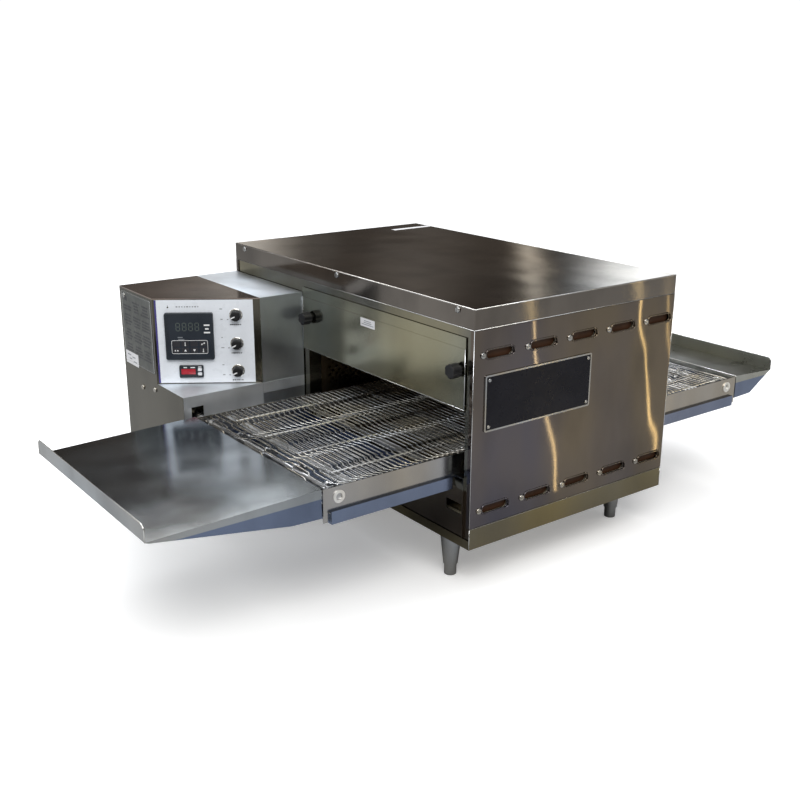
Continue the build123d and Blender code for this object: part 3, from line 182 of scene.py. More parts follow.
def noise(tree, coords, scale, detail=2.0, stretch=(1, 1, 1), turn=(0, 0, 0)):
    placed = add(tree, "ShaderNodeMapping", Vector=coords, Scale=stretch, Rotation=turn)
    return add(tree, "ShaderNodeTexNoise", Vector=placed.outputs[0], Scale=scale,
               Detail=detail).outputs["Fac"]


def ramp(tree, fac, *stops):
    """Colour ramp: stops are (position, colour) or (position, value)."""
    node = add(tree, "ShaderNodeValToRGB", Fac=fac)
    band = node.color_ramp
    while len(band.elements) < len(stops):
        band.elements.new(0.5)
    for element, (place, colour) in zip(band.elements, stops):
        element.position = place
        element.color = (*colour, 1) if hasattr(colour, "__len__") else (colour, colour, colour, 1)
    return node.outputs["Color"]


def relief(tree, heights, base=None):
    """Bumps stacked on each other: heights are (fac, strength, distance in metres)."""
    normal = base
    for fac, strength, distance in heights:
        node = add(tree, "ShaderNodeBump", Height=fac, Strength=strength, Distance=distance)
        if normal is not None:
            tree.links.new(normal, node.inputs["Normal"])
        normal = node.outputs[0]
    return normal


# how fast a pattern changes along x, y and z
EVEN, CROSS, UPRIGHT = (1, 1, 1), (60, 1, 1), (1, 1, 60)
ALONG, WIDE = (1, 1, 0.35), (1, 0.5, 1)


def mix(tree, fac, first, second, **values):
    """A colour mix of two sockets or colours, by a socket or a number."""
    ends = [c if isinstance(c, bpy.types.NodeSocket) else (*c, 1) for c in (first, second)]
    node = add(tree, "ShaderNodeMix", data_type="RGBA", **values)
    return put(node, in_0=fac, in_6=ends[0], in_7=ends[1]).outputs[2]


def steel(name, warm, cool, rough, grain, wave, patch, streak=ALONG, dirt=0.0, below=None, grit=1.0):
    """Bright rolled sheet: tinted patches, fine rolling grain, gentle waves, smears and fine scratches.

    below is (height in metres, colour): the sheet's tint under that height.
    """
    tree, bsdf, xyz = shader(name)
    patches = noise(tree, xyz, patch, 3.0, streak)
    colour = ramp(tree, patches, (0.36, cool), (0.50, [(a + b) / 2 for a, b in zip(warm, cool)]), (0.64,
                                                                                                   warm))
    # this tint under a height is painted shade on the lid's and the control box's sides, a painted
    # reflection on the trays' lower skirts, and on the jamb plates only makes them darker towards the bottom
    if below:
        height = add(tree, "ShaderNodeSeparateXYZ", Vector=xyz).outputs["Z"]
        colour = mix(tree, sums(tree, "LESS_THAN", height, below[0]), colour, below[1])
    smears = noise(tree, xyz, 9.0, 6.0, (1, 1, 0.5), (0.3, 0.5, 0.2))
    shade = ramp(tree, smears, (0.30, 0.78 - dirt), (0.55, 1.0), (0.8, 1.0))
    put(bsdf, Base_Color=mix(tree, 1.0, colour, shade, blend_type="MULTIPLY"), Metallic=1.0)
    scratches = noise(tree, xyz, 30.0, 2.0, (1, 14, 0.6), (0.4, 0.2, 0.9))
    rub = ramp(tree, noise(tree, xyz, 6.0, 5.0), (0.35, rough * 0.8), (0.7, rough * 1.3))
    fine = noise(tree, xyz, 260.0, 1.0, grain)
    waves = noise(tree, xyz, 7.0, 1.0, (1, 1, 0.6))
    bumps = [(waves, wave, 0.004), (scratches, 0.05 * grit, 0.0003), (fine, 0.18 * grit, 0.00004)]
    put(bsdf, Roughness=rub, Normal=relief(tree, bumps))


def plastic(name, colour, rough, grain=0.25, spread=0.12, coat=0.0, gloss=0.5):
    """Moulded plastic: slight colour drift and a fine moulded texture."""
    tree, bsdf, xyz = shader(name)
    drift = noise(tree, xyz, 25.0, 3.0)
    low = [c * (1 - spread) for c in colour]
    high = [min(1, c * (1 + spread) + 0.004) for c in colour]
    rub = ramp(tree, noise(tree, xyz, 90.0, 2.0), (0.3, rough * 0.85), (0.7, rough * 1.15))
    bumps = [(noise(tree, xyz, 1500.0, 2.0), grain, 0.00005)]
    put(bsdf, Base_Color=ramp(tree, drift, (0.3, low), (0.7, high)), Roughness=rub,
        Normal=relief(tree, bumps), Coat_Weight=coat, Specular_IOR_Level=gloss)


def wool(name, colour):
    tree, bsdf, xyz = shader(name)
    fibres = noise(tree, xyz, 120.0, 6.0, (1, 1, 4))
    tint = ramp(tree, fibres, (0.3, [c * 0.7 for c in colour]), (0.7, colour))
    put(bsdf, Base_Color=tint, Roughness=0.95, Sheen_Weight=0.3, Normal=relief(tree, [(fibres, 0.7, 0.002)]))


# warm tint, cool tint, roughness, grain, waves, fineness of patches, and for some sheets also the
# patches' stretch, the dirt, and the height below which another tint shows, with that tint
STEELS = {
    "base sheet": ((0.27, 0.22, 0.11), (0.19, 0.17, 0.12), 0.13, CROSS, 0.3, 4.0),
    # the lid's sides below its top take a darker tint of the same steel: painted shade
    "lid sheet": ((0.50, 0.43, 0.36), (0.46, 0.44, 0.42), 0.11, CROSS, 0.30, 2.0,
               WIDE, 0.1, (LID[1].z - 0.002, (0.19, 0.17, 0.15))),
    "end sheet": ((0.38, 0.34, 0.20), (0.30, 0.31, 0.26), 0.18, UPRIGHT, 0.3, 2.2),
    "cabinet sheet": ((0.60, 0.62, 0.64), (0.62, 0.68, 0.74), 0.38, UPRIGHT, 0.3, 3.5),
    # the control box's walls below its top take a darker tint of the same steel: painted shade
    "box sheet": ((0.36, 0.27, 0.22), (0.30, 0.26, 0.24), 0.15, UPRIGHT, 0.3, 3.0,
               ALONG, 0.1, (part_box("control_box_cover")[1].z - 0.002, (0.105, 0.098, 0.078))),
    # the tray's lower 36 mm take a darker blue tint of the same steel: a painted reflection
    "tray sheet": ((0.33, 0.31, 0.27), (0.36, 0.41, 0.46), 0.15, CROSS, 0.35, 2.2,
                WIDE, 0.15, (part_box("left_exit_tray")[1].z - 0.036, (0.16, 0.20, 0.30))),
    "ledge sheet": ((0.82, 0.84, 0.86), (0.84, 0.90, 0.96), 0.50, (12, 12, 12), 0.3, 5.0),
    # the tray's lower 36 mm take a darker blue tint of the same steel: a painted reflection
    "far tray sheet": ((0.40, 0.39, 0.32), (0.52, 0.56, 0.60), 0.30, CROSS, 0.3, 2.2,
                    WIDE, 0.1, (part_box("right_exit_tray")[1].z - 0.036, (0.20, 0.24, 0.34))),
    "rail sheet": ((0.44, 0.39, 0.31), (0.40, 0.41, 0.43), 0.20, UPRIGHT, 0.25, 4.0),
    "pan sheet": ((0.22, 0.25, 0.34), (0.20, 0.25, 0.37), 0.22, UPRIGHT, 0.3, 3.0),
    "inner sheet": ((0.34, 0.26, 0.15), (0.28, 0.25, 0.20), 0.32, (1, 1, 30), 0.5, 6.0, EVEN, 0.3),
    "jamb sheet": ((0.30, 0.27, 0.17), (0.22, 0.22, 0.20), 0.18, UPRIGHT, 0.3, 4.0,
                ALONG, 0.1, (BODY.z + 0.108, (0.125, 0.105, 0.085))),
    "belt wire": ((0.60, 0.54, 0.42), (0.60, 0.61, 0.62), 0.24, EVEN, 0.1, 9.0, EVEN, 0.3),
    "turned steel": ((0.50, 0.49, 0.46), (0.46, 0.47, 0.49), 0.25, (1, 60, 1), 0.1, 8.0),
    # a bright steel: on the knob rings and the data plate's frame it is bright trim, on the folded-edge
    # beads it is a painted highlight
    "highlight edge and bright trim": ((0.86, 0.84, 0.78), (0.84, 0.86, 0.90), 0.16, EVEN, 0.1, 10.0),
    "screw metal": ((0.46, 0.42, 0.35), (0.42, 0.43, 0.44), 0.24, EVEN, 0.1, 30.0),
    "leg metal": ((0.48, 0.47, 0.44), (0.42, 0.44, 0.46), 0.26, (1, 1, 20), 0.2, 14.0),
    "bronze bush": ((0.95, 0.93, 0.88), (0.92, 0.94, 0.96), 0.45, EVEN, 0.1, 20.0),
    "heater sheath": ((0.16, 0.11, 0.08), (0.11, 0.10, 0.10), 0.45, EVEN, 0.2, 20.0),
    "cast case": ((0.36, 0.36, 0.36), (0.30, 0.31, 0.32), 0.5, EVEN, 0.6, 12.0),
}

# colour, roughness, moulded grain, colour spread, coat, gloss
PLASTICS = {
    "motor paint": ((0.045, 0.05, 0.055), 0.38, 0.5),
    "slot shadow": ((0.060, 0.026, 0.012), 0.55, 0.25, 0.12, 0.0, 0.2),
    "knob black": ((0.008, 0.008, 0.009), 0.38, 0.5, 0.12, 0.0, 0.3),
    "instrument grey": ((0.020, 0.026, 0.034), 0.40, 0.4, 0.12, 0.0, 0.3),
    "membrane": ((0.020, 0.026, 0.036), 0.34, 0.15, 0.12, 0.0, 0.3),
    "edge print": ((0.055, 0.045, 0.22), 0.4),
    "white print": ((0.82, 0.83, 0.84), 0.42, 0.1, 0.04),
    "grey print": ((0.22, 0.24, 0.26), 0.5, 0.1),
    "black print": ((0.02, 0.02, 0.025), 0.45, 0.1),
    "dim segment": ((0.085, 0.105, 0.095), 0.4, 0.1),
    "button white": ((0.72, 0.74, 0.78), 0.30),
    "badge black": ((0.004, 0.004, 0.008), 0.30, 0.1, 0.12, 0.0, 0.15),
    "paper": ((0.70, 0.70, 0.72), 0.6, 0.2, 0.05),
    "plate grey": ((0.10, 0.105, 0.10), 0.5, 0.3, 0.12, 0.0, 0.2),
    "gland black": ((0.015, 0.015, 0.016), 0.45, 0.6),
}


def paint_finishes():
    """Makes every finish, by name."""
    look = setting("finishes")
    steel("front sheet", tuple(look.warm), tuple(look.cool), 0.055, UPRIGHT, 0.85, 3.2, (1.2, 1, 0.5),
          grit=0.35)
    for name, values in STEELS.items():
        steel(name, *values)
    for name, values in PLASTICS.items():
        plastic(name, *values)
    plastic("face print", tuple(look.face), 0.30, 0.1, 0.03, 0.15)
    plastic("red window", tuple(look.window), 0.14, 0.05, 0.1, 0.6)
    wool("mineral wool", (0.62, 0.57, 0.42))


CAD_FINISH = {
    "front sheet": ["front_panel", "rear_panel"],
    "lid sheet": ["top_cover"],
    "end sheet": ["left_end_panel", "right_end_panel"],
    "cabinet sheet": ["side_cover", "cabinet_base"],
    "box sheet": ["control_box_cover"],
    "tray sheet": ["left_exit_tray"],
    "far tray sheet": ["right_exit_tray"],
    "rail sheet": ["skirt_plates"],
    "base sheet": ["base_pan"],
    "pan sheet": ["left_crumb_tray", "right_crumb_tray"],
    "inner sheet": ["chamber_liner", "return_air_plate", "air_fingers", "plenum_housing", "blower_wheel"],
    "jamb sheet": ["left_end_plate", "right_end_plate", "conveyor_brackets"],
    "turned steel": ["drive_shaft", "drive_sprockets", "idler_shaft", "idler_sprockets", "motor_sprocket",
                     "blower_shaft", "drive_chain", "conveyor_frame", "belt_support_frame"],
    "screw metal": ["panel_screws", "badge_plate"],
    "leg metal": ["leg_sockets", "foot_front_left", "foot_front_right", "foot_rear_left", "foot_rear_right"],
    "bronze bush": ["shaft_bushings"],
    "heater sheath": ["heating_elements"],
    "cast case": ["gearmotor"],
    "motor paint": ["blower_motor"],
    "knob black": ["left_panel_knob_front", "left_panel_knob_rear", "right_panel_knob_front",
                   "right_panel_knob_rear"],
    "instrument grey": ["temperature_controller", "limit_module", "electrical_parts", "fan_frame",
                        "fan_rotor"],
    "face print": ["faceplate"],
    "button white": ["module_button_upper", "module_button_lower"],
    "gland black": ["cable_gland"],
    "mineral wool": ["insulation"],
}


def finish(name):
    return bpy.data.materials[name]


# ---------------------------------------------------------------- mesh helpers

def link(name, data):
    """A new object of some data, in the scene."""
    obj = bpy.data.objects.new(name, data)
    bpy.context.scene.collection.objects.link(obj)
    return obj


class Sheet:
    """A mesh in the making, with a frame that its points are given in and a finish for each face."""

    def __init__(self, place=None):
        self.bm = bmesh.new()
        self.place = place or Matrix.Identity(4)
        self.finishes = []

    def paint(self, faces, name, smooth=False):
        if name not in self.finishes:
            self.finishes.append(name)
        for f in faces:
            f.material_index = self.finishes.index(name)
            f.smooth = smooth

    def ring(self, points):
        return [self.bm.verts.new(self.place @ Vector(p)) for p in points]

    def prism(self, outline, z0, z1, name, bevel=0.0):
        """An outline of (x, y) points, counter-clockwise, from z0 to z1."""
        low = self.ring([(x, y, z0) for x, y in outline])
        high = self.ring([(x, y, z1) for x, y in outline])
        n = len(outline)
        faces = [self.bm.faces.new([low[i], low[(i + 1) % n], high[(i + 1) % n], high[i]]) for i in range(n)]
        faces += [self.bm.faces.new(high), self.bm.faces.new(low[::-1])]
        self.paint(faces, name)
        if bevel:
            rim = list(faces[-2].edges)
            made = bmesh.ops.bevel(self.bm, geom=rim, offset=bevel, segments=2, affect="EDGES", profile=0.6)
            self.paint(made["faces"], name, True)

    def block(self, x0, x1, y0, y1, z0, z1, name, bevel=0.0):
        self.prism([(x0, y0), (x1, y0), (x1, y1), (x0, y1)], z0, z1, name, bevel)

    def turned(self, profile, name, sides=32, centre=(0, 0)):
        """A turned form: profile is (radius, z) from its foot to its crown, closed at both ends."""
        rings = []
        for r, z in profile:
            rings.append(self.ring([(centre[0] + r * cos(2 * pi * i / sides),
                                     centre[1] + r * sin(2 * pi * i / sides), z) for i in range(sides)]))
        faces = []
        for a, b in zip(rings, rings[1:]):
            faces += [self.bm.faces.new([a[i], a[(i + 1) % sides], b[(i + 1) % sides], b[i]])
                      for i in range(sides)]
        self.paint(faces, name, True)
        self.paint([self.bm.faces.new(rings[-1]), self.bm.faces.new(rings[0][::-1])], name)

    def bead(self, points, radius, name, closed=False, sides=8):
        """A round bead along a line of points."""
        pts = [Vector(p) for p in points]
        n = len(pts)
        rings = []
        for i, p in enumerate(pts):
            before = pts[i - 1] if (closed or i) else p
            after = pts[(i + 1) % n] if (closed or i < n - 1) else p
            along = (after - before).normalized()
            side = along.cross(Vector((0, 0, 1)) if abs(along.z) < 0.9 else Vector((0, 1, 0))).normalized()
            up = side.cross(along)
            rings.append(self.ring([p + (side * cos(2 * pi * k / sides)
                                         + up * sin(2 * pi * k / sides)) * radius
                                    for k in range(sides)]))
        faces = []
        for a, b in zip(rings, rings[1:] + (rings[:1] if closed else [])):
            faces += [self.bm.faces.new([a[k], b[k], b[(k + 1) % sides], a[(k + 1) % sides]])
                      for k in range(sides)]
        if not closed:
            faces += [self.bm.faces.new(rings[0]), self.bm.faces.new(rings[-1][::-1])]
        self.paint(faces, name, True)

    def mesh(self, name):
        bmesh.ops.recalc_face_normals(self.bm, faces=self.bm.faces)
        mesh = bpy.data.meshes.new(name)
        self.bm.to_mesh(mesh)
        self.bm.free()
        return mesh

    def done(self, name, body, slot, hides=()):
        mesh = self.mesh(name)
        for f in self.finishes:
            mesh.materials.append(finish(f))
        return settle(name, mesh, body, hides)


def settle(name, mesh, body, hides=()):
    """Puts a finished mesh in the scene as a piece that rides on a body."""
    piece = link(name, mesh)
    if hides:
        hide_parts(*hides)
    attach(piece, body)
    return piece


def round_rect(x0, x1, y0, y1, r, n=6):
    """Counter-clockwise outline with round corners."""
    points = []
    for cx, cy, start in ((x1 - r, y1 - r, 0), (x0 + r, y1 - r, 90), (x0 + r, y0 + r, 180), (x1 - r, y0 + r,
                                                                                             270)):
        for i in range(n + 1):
            a = radians(start + 90 * i / n)
            points.append((cx + r * cos(a), cy + r * sin(a)))
    return points


# ---------------------------------------------------------------- geometry nodes

def node_tree(name, *inputs):
    """A geometry tree with named inputs: (label, socket kind, default)."""
    tree = bpy.data.node_groups.new(name, "GeometryNodeTree")
    tree.interface.new_socket("Geometry", in_out="INPUT", socket_type="NodeSocketGeometry")
    for label, kind, default in inputs:
        socket = tree.interface.new_socket(label, in_out="INPUT", socket_type="NodeSocket" + kind)
        if default is not None:
            socket.default_value = default
    tree.interface.new_socket("Geometry", in_out="OUTPUT", socket_type="NodeSocketGeometry")
    return tree, tree.nodes.new("NodeGroupInput").outputs, tree.nodes.new("NodeGroupOutput").inputs


def end_tree(tree, geometry, material, out):
    solid = add(tree, "GeometryNodeRealizeInstances", Geometry=geometry).outputs[0]
    done = add(tree, "GeometryNodeSetMaterial", Geometry=solid, Material=material).outputs[0]
    tree.links.new(done, out["Geometry"])
    return tree


def grow(name, tree, base, body, slot, hides=(), **values):
    """Runs a tree over a base mesh or curve, and keeps the result as a plain mesh piece."""
    holder = link(name + " holder", base)
    mod = holder.modifiers.new("Grow", "NODES")
    mod.node_group = tree
    sockets = {s.name: s.identifier for s in tree.interface.items_tree if s.in_out == "INPUT"}
    for label, value in values.items():
        mod[sockets[label.replace("_", " ")]] = value
    graph = bpy.context.evaluated_depsgraph_get()
    mesh = bpy.data.meshes.new_from_object(holder.evaluated_get(graph))
    if not mesh.polygons:
        raise RuntimeError(name + " came out empty")
    holder.modifiers.remove(mod)
    bpy.data.objects.remove(holder)
    mesh.name = name
    return settle(name, mesh, body, hides)


def points_mesh(name, points, edges=()):
    mesh = bpy.data.meshes.new(name)
    mesh.from_pydata([tuple(p) for p in points], list(edges), [])
    return mesh


def belt_tree():
    """Cross wires with a joggle at each strand, set along the loop that the base mesh draws."""
    tree, gin, out = node_tree("Belt wires", ("Rods", "Int", 180), ("Width", "Float", 0.4),
                               ("Strands", "Int", 6), ("Joggle", "Float", 0.003),
                               ("Wire radius", "Float", 0.001), ("Finish", "Material", None))
    loop = add(tree, "GeometryNodeMeshToCurve", Mesh=gin["Geometry"]).outputs[0]
    even = add(tree, "GeometryNodeResampleCurve", Curve=loop, Count=gin["Rods"]).outputs[0]
    half = sums(tree, "MULTIPLY", gin["Width"], 0.5)
    start = add(tree, "ShaderNodeCombineXYZ", Y=sums(tree, "MULTIPLY", half, -1.0)).outputs[0]
    end = add(tree, "ShaderNodeCombineXYZ", Y=half).outputs[0]
    line = add(tree, "GeometryNodeCurvePrimitiveLine", Start=start, End=end).outputs[0]
    knots = sums(tree, "MULTIPLY_ADD", gin["Strands"], 12.0, 1.0)
    line = add(tree, "GeometryNodeResampleCurve", Curve=line, Count=knots).outputs[0]
    index = tree.nodes.new("GeometryNodeInputIndex").outputs[0]
    phase = sums(tree, "FRACT", sums(tree, "MULTIPLY_ADD", index, 1 / 24, 0.25 + 1 / 48))
    swing = sums(tree, "SUBTRACT", sums(tree, "ABSOLUTE", sums(tree, "SUBTRACT", phase, 0.5)), 0.25)
    wave = add(tree, "ShaderNodeClamp", Value=sums(tree, "MULTIPLY", swing, 40.0), Min=-1.0,
               Max=1.0).outputs[0]
    ends = add(tree, "GeometryNodeCurveEndpointSelection", Start_Size=1, End_Size=1).outputs[0]
    reach = sums(tree, "MULTIPLY_ADD", ends, 2.4, wave)
    # near each joggle the wire dips under its neighbour
    dip = sums(tree, "SUBTRACT", sums(tree, "ABSOLUTE", wave), 1.0)
    shift = add(tree, "ShaderNodeCombineXYZ", X=sums(tree, "MULTIPLY", reach, gin["Joggle"]),
                Z=sums(tree, "MULTIPLY", dip, sums(tree, "MULTIPLY", gin["Wire radius"], 1.6))).outputs[0]
    bent = add(tree, "GeometryNodeSetPosition", Geometry=line, Offset=shift).outputs[0]
    ring = add(tree, "GeometryNodeCurvePrimitiveCircle", Resolution=5, Radius=gin["Wire radius"]).outputs[0]
    wire = add(tree, "GeometryNodeCurveToMesh", Curve=bent).inputs
    tree.links.new(ring, wire["Profile Curve"])
    wire["Fill Caps"].default_value = True
    tangent = tree.nodes.new("GeometryNodeInputTangent").outputs[0]
    turn = add(tree, "FunctionNodeAlignRotationToVector", axis="X", pivot_axis="Y",
               Vector=tangent).outputs[0]
    laid = add(tree, "GeometryNodeInstanceOnPoints", Points=even, Instance=wire["Curve"].node.outputs[0],
               Rotation=turn).outputs[0]
    return end_tree(tree, laid, gin["Finish"], out)


def copies_tree():
    """The same shape on every point of the base mesh."""
    tree, gin, out = node_tree("Copies", ("Shape", "Object", None), ("Finish", "Material", None))
    shape = add(tree, "GeometryNodeObjectInfo", transform_space="ORIGINAL",
                Object=gin["Shape"]).outputs["Geometry"]
    laid = add(tree, "GeometryNodeInstanceOnPoints", Points=gin["Geometry"], Instance=shape).outputs[0]
    return end_tree(tree, laid, gin["Finish"], out)


def print_tree():
    """Rows of short printed bars on the points of the base mesh, each of its own length."""
    tree, gin, out = node_tree("Printed lines", ("Length", "Float", 0.01), ("Height", "Float", 0.001),
                               ("Depth", "Float", 0.0002), ("Turn", "Rotation", None), ("Seed", "Int", 1),
                               ("Finish", "Material", None))
    bar = add(tree, "GeometryNodeMeshCube").outputs[0]
    pick = add(tree, "FunctionNodeRandomValue", data_type="FLOAT", Seed=gin["Seed"])
    pick.inputs[2].default_value, pick.inputs[3].default_value = 0.45, 1.0
    size = add(tree, "ShaderNodeCombineXYZ", X=sums(tree, "MULTIPLY", pick.outputs[1], gin["Length"]),
               Y=gin["Height"], Z=gin["Depth"]).outputs[0]
    laid = add(tree, "GeometryNodeInstanceOnPoints", Points=gin["Geometry"], Instance=bar,
               Rotation=gin["Turn"],
               Scale=size).outputs[0]
    return end_tree(tree, laid, gin["Finish"], out)


def printed(name, place, rows, body, slot, look, length, height, seed=None):
    """Printed bars centred on (x, y) points of a placed plane, in metres."""
    film = setting("print").film
    points = [place @ Vector((x, y, film / 2)) for x, y in rows]
    tree = bpy.data.node_groups.get("Printed lines") or print_tree()
    return grow(name, tree, points_mesh(name, points), body, slot, Length=length, Height=height, Depth=film,
                Turn=place.to_euler(), Seed=seed if seed is not None else setting("print").seed,
                Finish=finish(look))


# ---------------------------------------------------------------- pieces

class Finish(bpy.types.Operator):
    """Paints every carried-over CAD node"""
    bl_idname = "oven.finish"
    bl_label = "Finishes"

    def execute(self, context):
        paint_finishes()
        for look, names in CAD_FINISH.items():
            for name in names:
                mats = NODES[name].data.materials
                if not len(mats):
                    mats.append(None)
                for i in range(len(mats)):
                    mats[i] = finish(look)
        return {"FINISHED"}


class Belt(bpy.types.Operator):
    """Woven wire belt round both shafts"""
    bl_idname = "oven.belt"
    bl_label = "Wire belt"

    def execute(self, context):
        sizes = setting("belt")
        lo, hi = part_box("wire_belt")
        radius = (hi.z - lo.z) / 2
        line = radius - 3 * sizes.wire
        x0, x1, z = lo.x + radius, hi.x - radius, (lo.z + hi.z) / 2
        y = (lo.y + hi.y) / 2
        turns = 24
        path = [(x1 + line * sin(pi * i / turns), y, z + line * cos(pi * i / turns))
                for i in range(turns + 1)]
        path += [(x0 - line * sin(pi * i / turns), y, z - line * cos(pi * i / turns))
                 for i in range(turns + 1)]
        edges = [(i, (i + 1) % len(path)) for i in range(len(path))]
        grow("wire_belt_woven", belt_tree(), points_mesh("belt path", path, edges), ROOT, "belt_wire",
             ["wire_belt"], Rods=sizes.rods, Width=hi.y - lo.y - 2 * sizes.wire, Strands=sizes.strands,
             Joggle=sizes.step, Wire_radius=sizes.wire, Finish=finish("belt wire"))
        return {"FINISHED"}


# pressed slots, in millimetres: spacing, first centre, length, height, heights of the two rows
SLOT_PITCH, SLOT_FIRST, SLOT_L, SLOT_H = 102.0, 58.5, 65.0, 18.0
SLOT_ROWS = (70.4, 352.6)
CUP_BACK, CUP_FRONT = -0.0078, -0.0068    # the dark cup's depth behind the panel, in metres


class Slots(bpy.types.Operator):
    """Rolled rims and dark cups of the pressed slots"""
    bl_idname = "oven.slots"
    bl_label = "Pressed slots"

    def execute(self, context):
        sizes = setting("panel")
        r = SLOT_H / 2 * MM
        reach = (SLOT_L / 2 * MM) - r
        place = facing("front", Vector((0, 0, 0)))
        outline = []
        for side, start in ((1, -90), (-1, 90)):
            for i in range(13):
                a = radians(start + 15 * i)
                outline.append((side * reach + r * cos(a), r * sin(a)))
        rim = Sheet(place)
        rim.bead([(x, y, 0.0006) for x, y in outline], sizes.rim, "highlight edge and bright trim", closed=True)
        inner = [(x * 0.93, y * 0.86, -0.0012) for x, y in outline]
        rim.bead(inner, sizes.rim * 0.8, "highlight edge and bright trim", closed=True)
        # the rolled lip stands up at the right end of each slot
        lip = [(x, y, 0.0022 * max(0, x / (reach + r)) ** 2) for x, y in outline[:13]]
        rim.bead(lip, sizes.rim * 1.1, "highlight edge and bright trim")
        cup = Sheet(place)
        cup.prism([(x * 0.97, y * 0.95) for x, y in outline], CUP_BACK, CUP_FRONT, "slot shadow")
        shapes = [link("slot rim", rim.mesh("slot rim")), link("slot cup", cup.mesh("slot cup"))]
        points = [at(SLOT_FIRST + i * SLOT_PITCH, 0, z) for i in range(sizes.columns) for z in SLOT_ROWS]
        tree = copies_tree()
        grow("slot_rims", tree, points_mesh("slots", points), ROOT, "outer_steel", Shape=shapes[0],
             Finish=finish("front sheet"))
        grow("slot_cups", tree, points_mesh("slots", points), ROOT, "inner_steel", Shape=shapes[1],
             Finish=finish("slot shadow"))
        for shape in shapes:
            bpy.data.objects.remove(shape)
        return {"FINISHED"}


class Beads(bpy.types.Operator):
    """Folded edges along the lid, panels and trays; their bright finish is a painted highlight"""
    bl_idname = "oven.beads"
    bl_label = "Folded edges"

    def execute(self, context):
        r = setting("panel").bead
        for name, body, node in (("left_tray_edges", "left_tray", "left_exit_tray"),
                                 ("right_tray_edges", "right_tray", "right_exit_tray")):
            verts = [v.co for v in NODES[node].data.vertices]
            lo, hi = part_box(node)
            left = node.startswith("left")
            outer = lo.x if left else hi.x
            # the surface's two ends: its top at the conveyor, and the foot of the raised end
            inner_z = max(v.z for v in verts if abs(v.x - outer) > 0.1)
            level = [v.x for v in verts if abs(v.z - inner_z) < 0.0003]
            inner = max(level) if left else min(level)
            foot_z = inner_z - 0.007
            edge = Sheet()
            for y in (lo.y + r, hi.y - r):
                edge.bead([(inner, y, inner_z - r), (outer, y, foot_z - r)], r, "highlight edge and bright trim")
            edge.bead([(inner, lo.y, inner_z - r), (inner, hi.y, inner_z - r)], r, "highlight edge and bright trim")
            corner = 0.010
            top = [(outer, lo.y, foot_z), (outer, lo.y, hi.z - corner)]
            top += [(outer, lo.y + corner * (1 - cos(radians(a))), hi.z - corner * (1 - sin(radians(a))))
                    for a in range(15, 91, 15)]
            top += [(outer, hi.y - corner * (1 - cos(radians(a))), hi.z - corner * (1 - sin(radians(a))))
                    for a in range(90, 0, -15)]
            top += [(outer, hi.y, hi.z - corner), (outer, hi.y, foot_z)]
            edge.bead(top, r, "highlight edge and bright trim")
            edge.done(name, body, "outer_steel")
        lid = Sheet()
        z = LID[0].z + r
        x0, x1, y0, y1 = LID[0].x, LID[1].x, LID[0].y, LID[1].y
        lid.bead([(x0, y0, z), (x1, y0, z), (x1, y1, z), (x0, y1, z)], r * 0.8, "highlight edge and bright trim", closed=True)
        top = LID[1].z - r * 0.8
        for line in ([(x0, y0, top), (x1, y0, top)], [(x0, y0, top), (x0, y1, top)],
                     [(x1, y0, top), (x1, y1, top)], [(x0, y1, top), (x1, y1, top)]):
            lid.bead(line, r * 0.7, "highlight edge and bright trim")
        lid.done("lid_hem", ROOT, "outer_steel")
        front_low, front_high = (corner.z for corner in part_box("front_panel"))
        corner = Sheet()
        for x in (x0 + r * 0.4, x1 - r * 0.4):
            for foot, head in ((front_low + 0.001, front_high), (BODY.z + 0.001, front_low - 0.002)):
                corner.bead([(x, y0 + r * 0.4, foot), (x, y0 + r * 0.4, head)], r * 0.8, "highlight edge and bright trim")
        corner.bead([(x0, y0 + r * 0.5, front_low - 0.0015), (x1, y0 + r * 0.5, front_low - 0.0015)],
                    r * 0.6,
                    "highlight edge and bright trim")
        corner.done("corner_edges", ROOT, "outer_steel")
        for name, body in (("left_end_panel", "left_panel"), ("right_end_panel", "right_panel")):
            lo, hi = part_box(name)
            left = name.startswith("left")
            x = lo.x + r * 0.4 if left else hi.x - r * 0.4
            crease = hi.z - 0.020
            rim = Sheet()
            rim.bead([(x, lo.y + r, lo.z + r), (x, lo.y + r, crease)], r, "highlight edge and bright trim")
            rim.bead([(x, hi.y - r, lo.z + r), (x, hi.y - r, crease)], r * 0.7, "highlight edge and bright trim")
            rim.bead([(x, lo.y + r, lo.z + r), (x, hi.y - r, lo.z + r)], r * 0.7, "highlight edge and bright trim")
            rim.done(name + "_edges", body, "outer_steel")
        return {"FINISHED"}


class Ledge(bpy.types.Operator):
    """Light brushed sheets on the ledge under the control face and on the wall below it"""
    bl_idname = "oven.ledge"
    bl_label = "Cabinet ledge"

    def execute(self, context):
        lo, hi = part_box("control_box_cover")
        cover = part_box("side_cover")
        skin = 0.0004
        low_z = FACE_ORIGIN.z - 0.002
        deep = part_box("faceplate")[1].y
        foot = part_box("skirt_plates")[1].z + 0.001
        sheet = Sheet()
        sheet.prism([(lo.x + skin, lo.y + skin), (hi.x, lo.y + skin), (lo.x + skin, deep)], low_z,
                    low_z + skin,
                    "ledge sheet")
        sheet.block(lo.x + skin, hi.x, lo.y - skin, lo.y, foot, low_z + skin, "ledge sheet")
        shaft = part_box("drive_shaft")
        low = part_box("conveyor_frame")[0].z
        for side in ((lo.x + skin, shaft[0].x - 0.007), (shaft[1].x + 0.007, hi.x)):
            sheet.block(side[0], side[1], lo.y - skin, lo.y, low, foot, "ledge sheet")
        sheet.block(cover[0].x + skin, cover[1].x, lo.y - skin, lo.y, foot, low_z, "ledge sheet")
        sheet.done("cabinet_ledge", ROOT, "outer_steel")
        return {"FINISHED"}


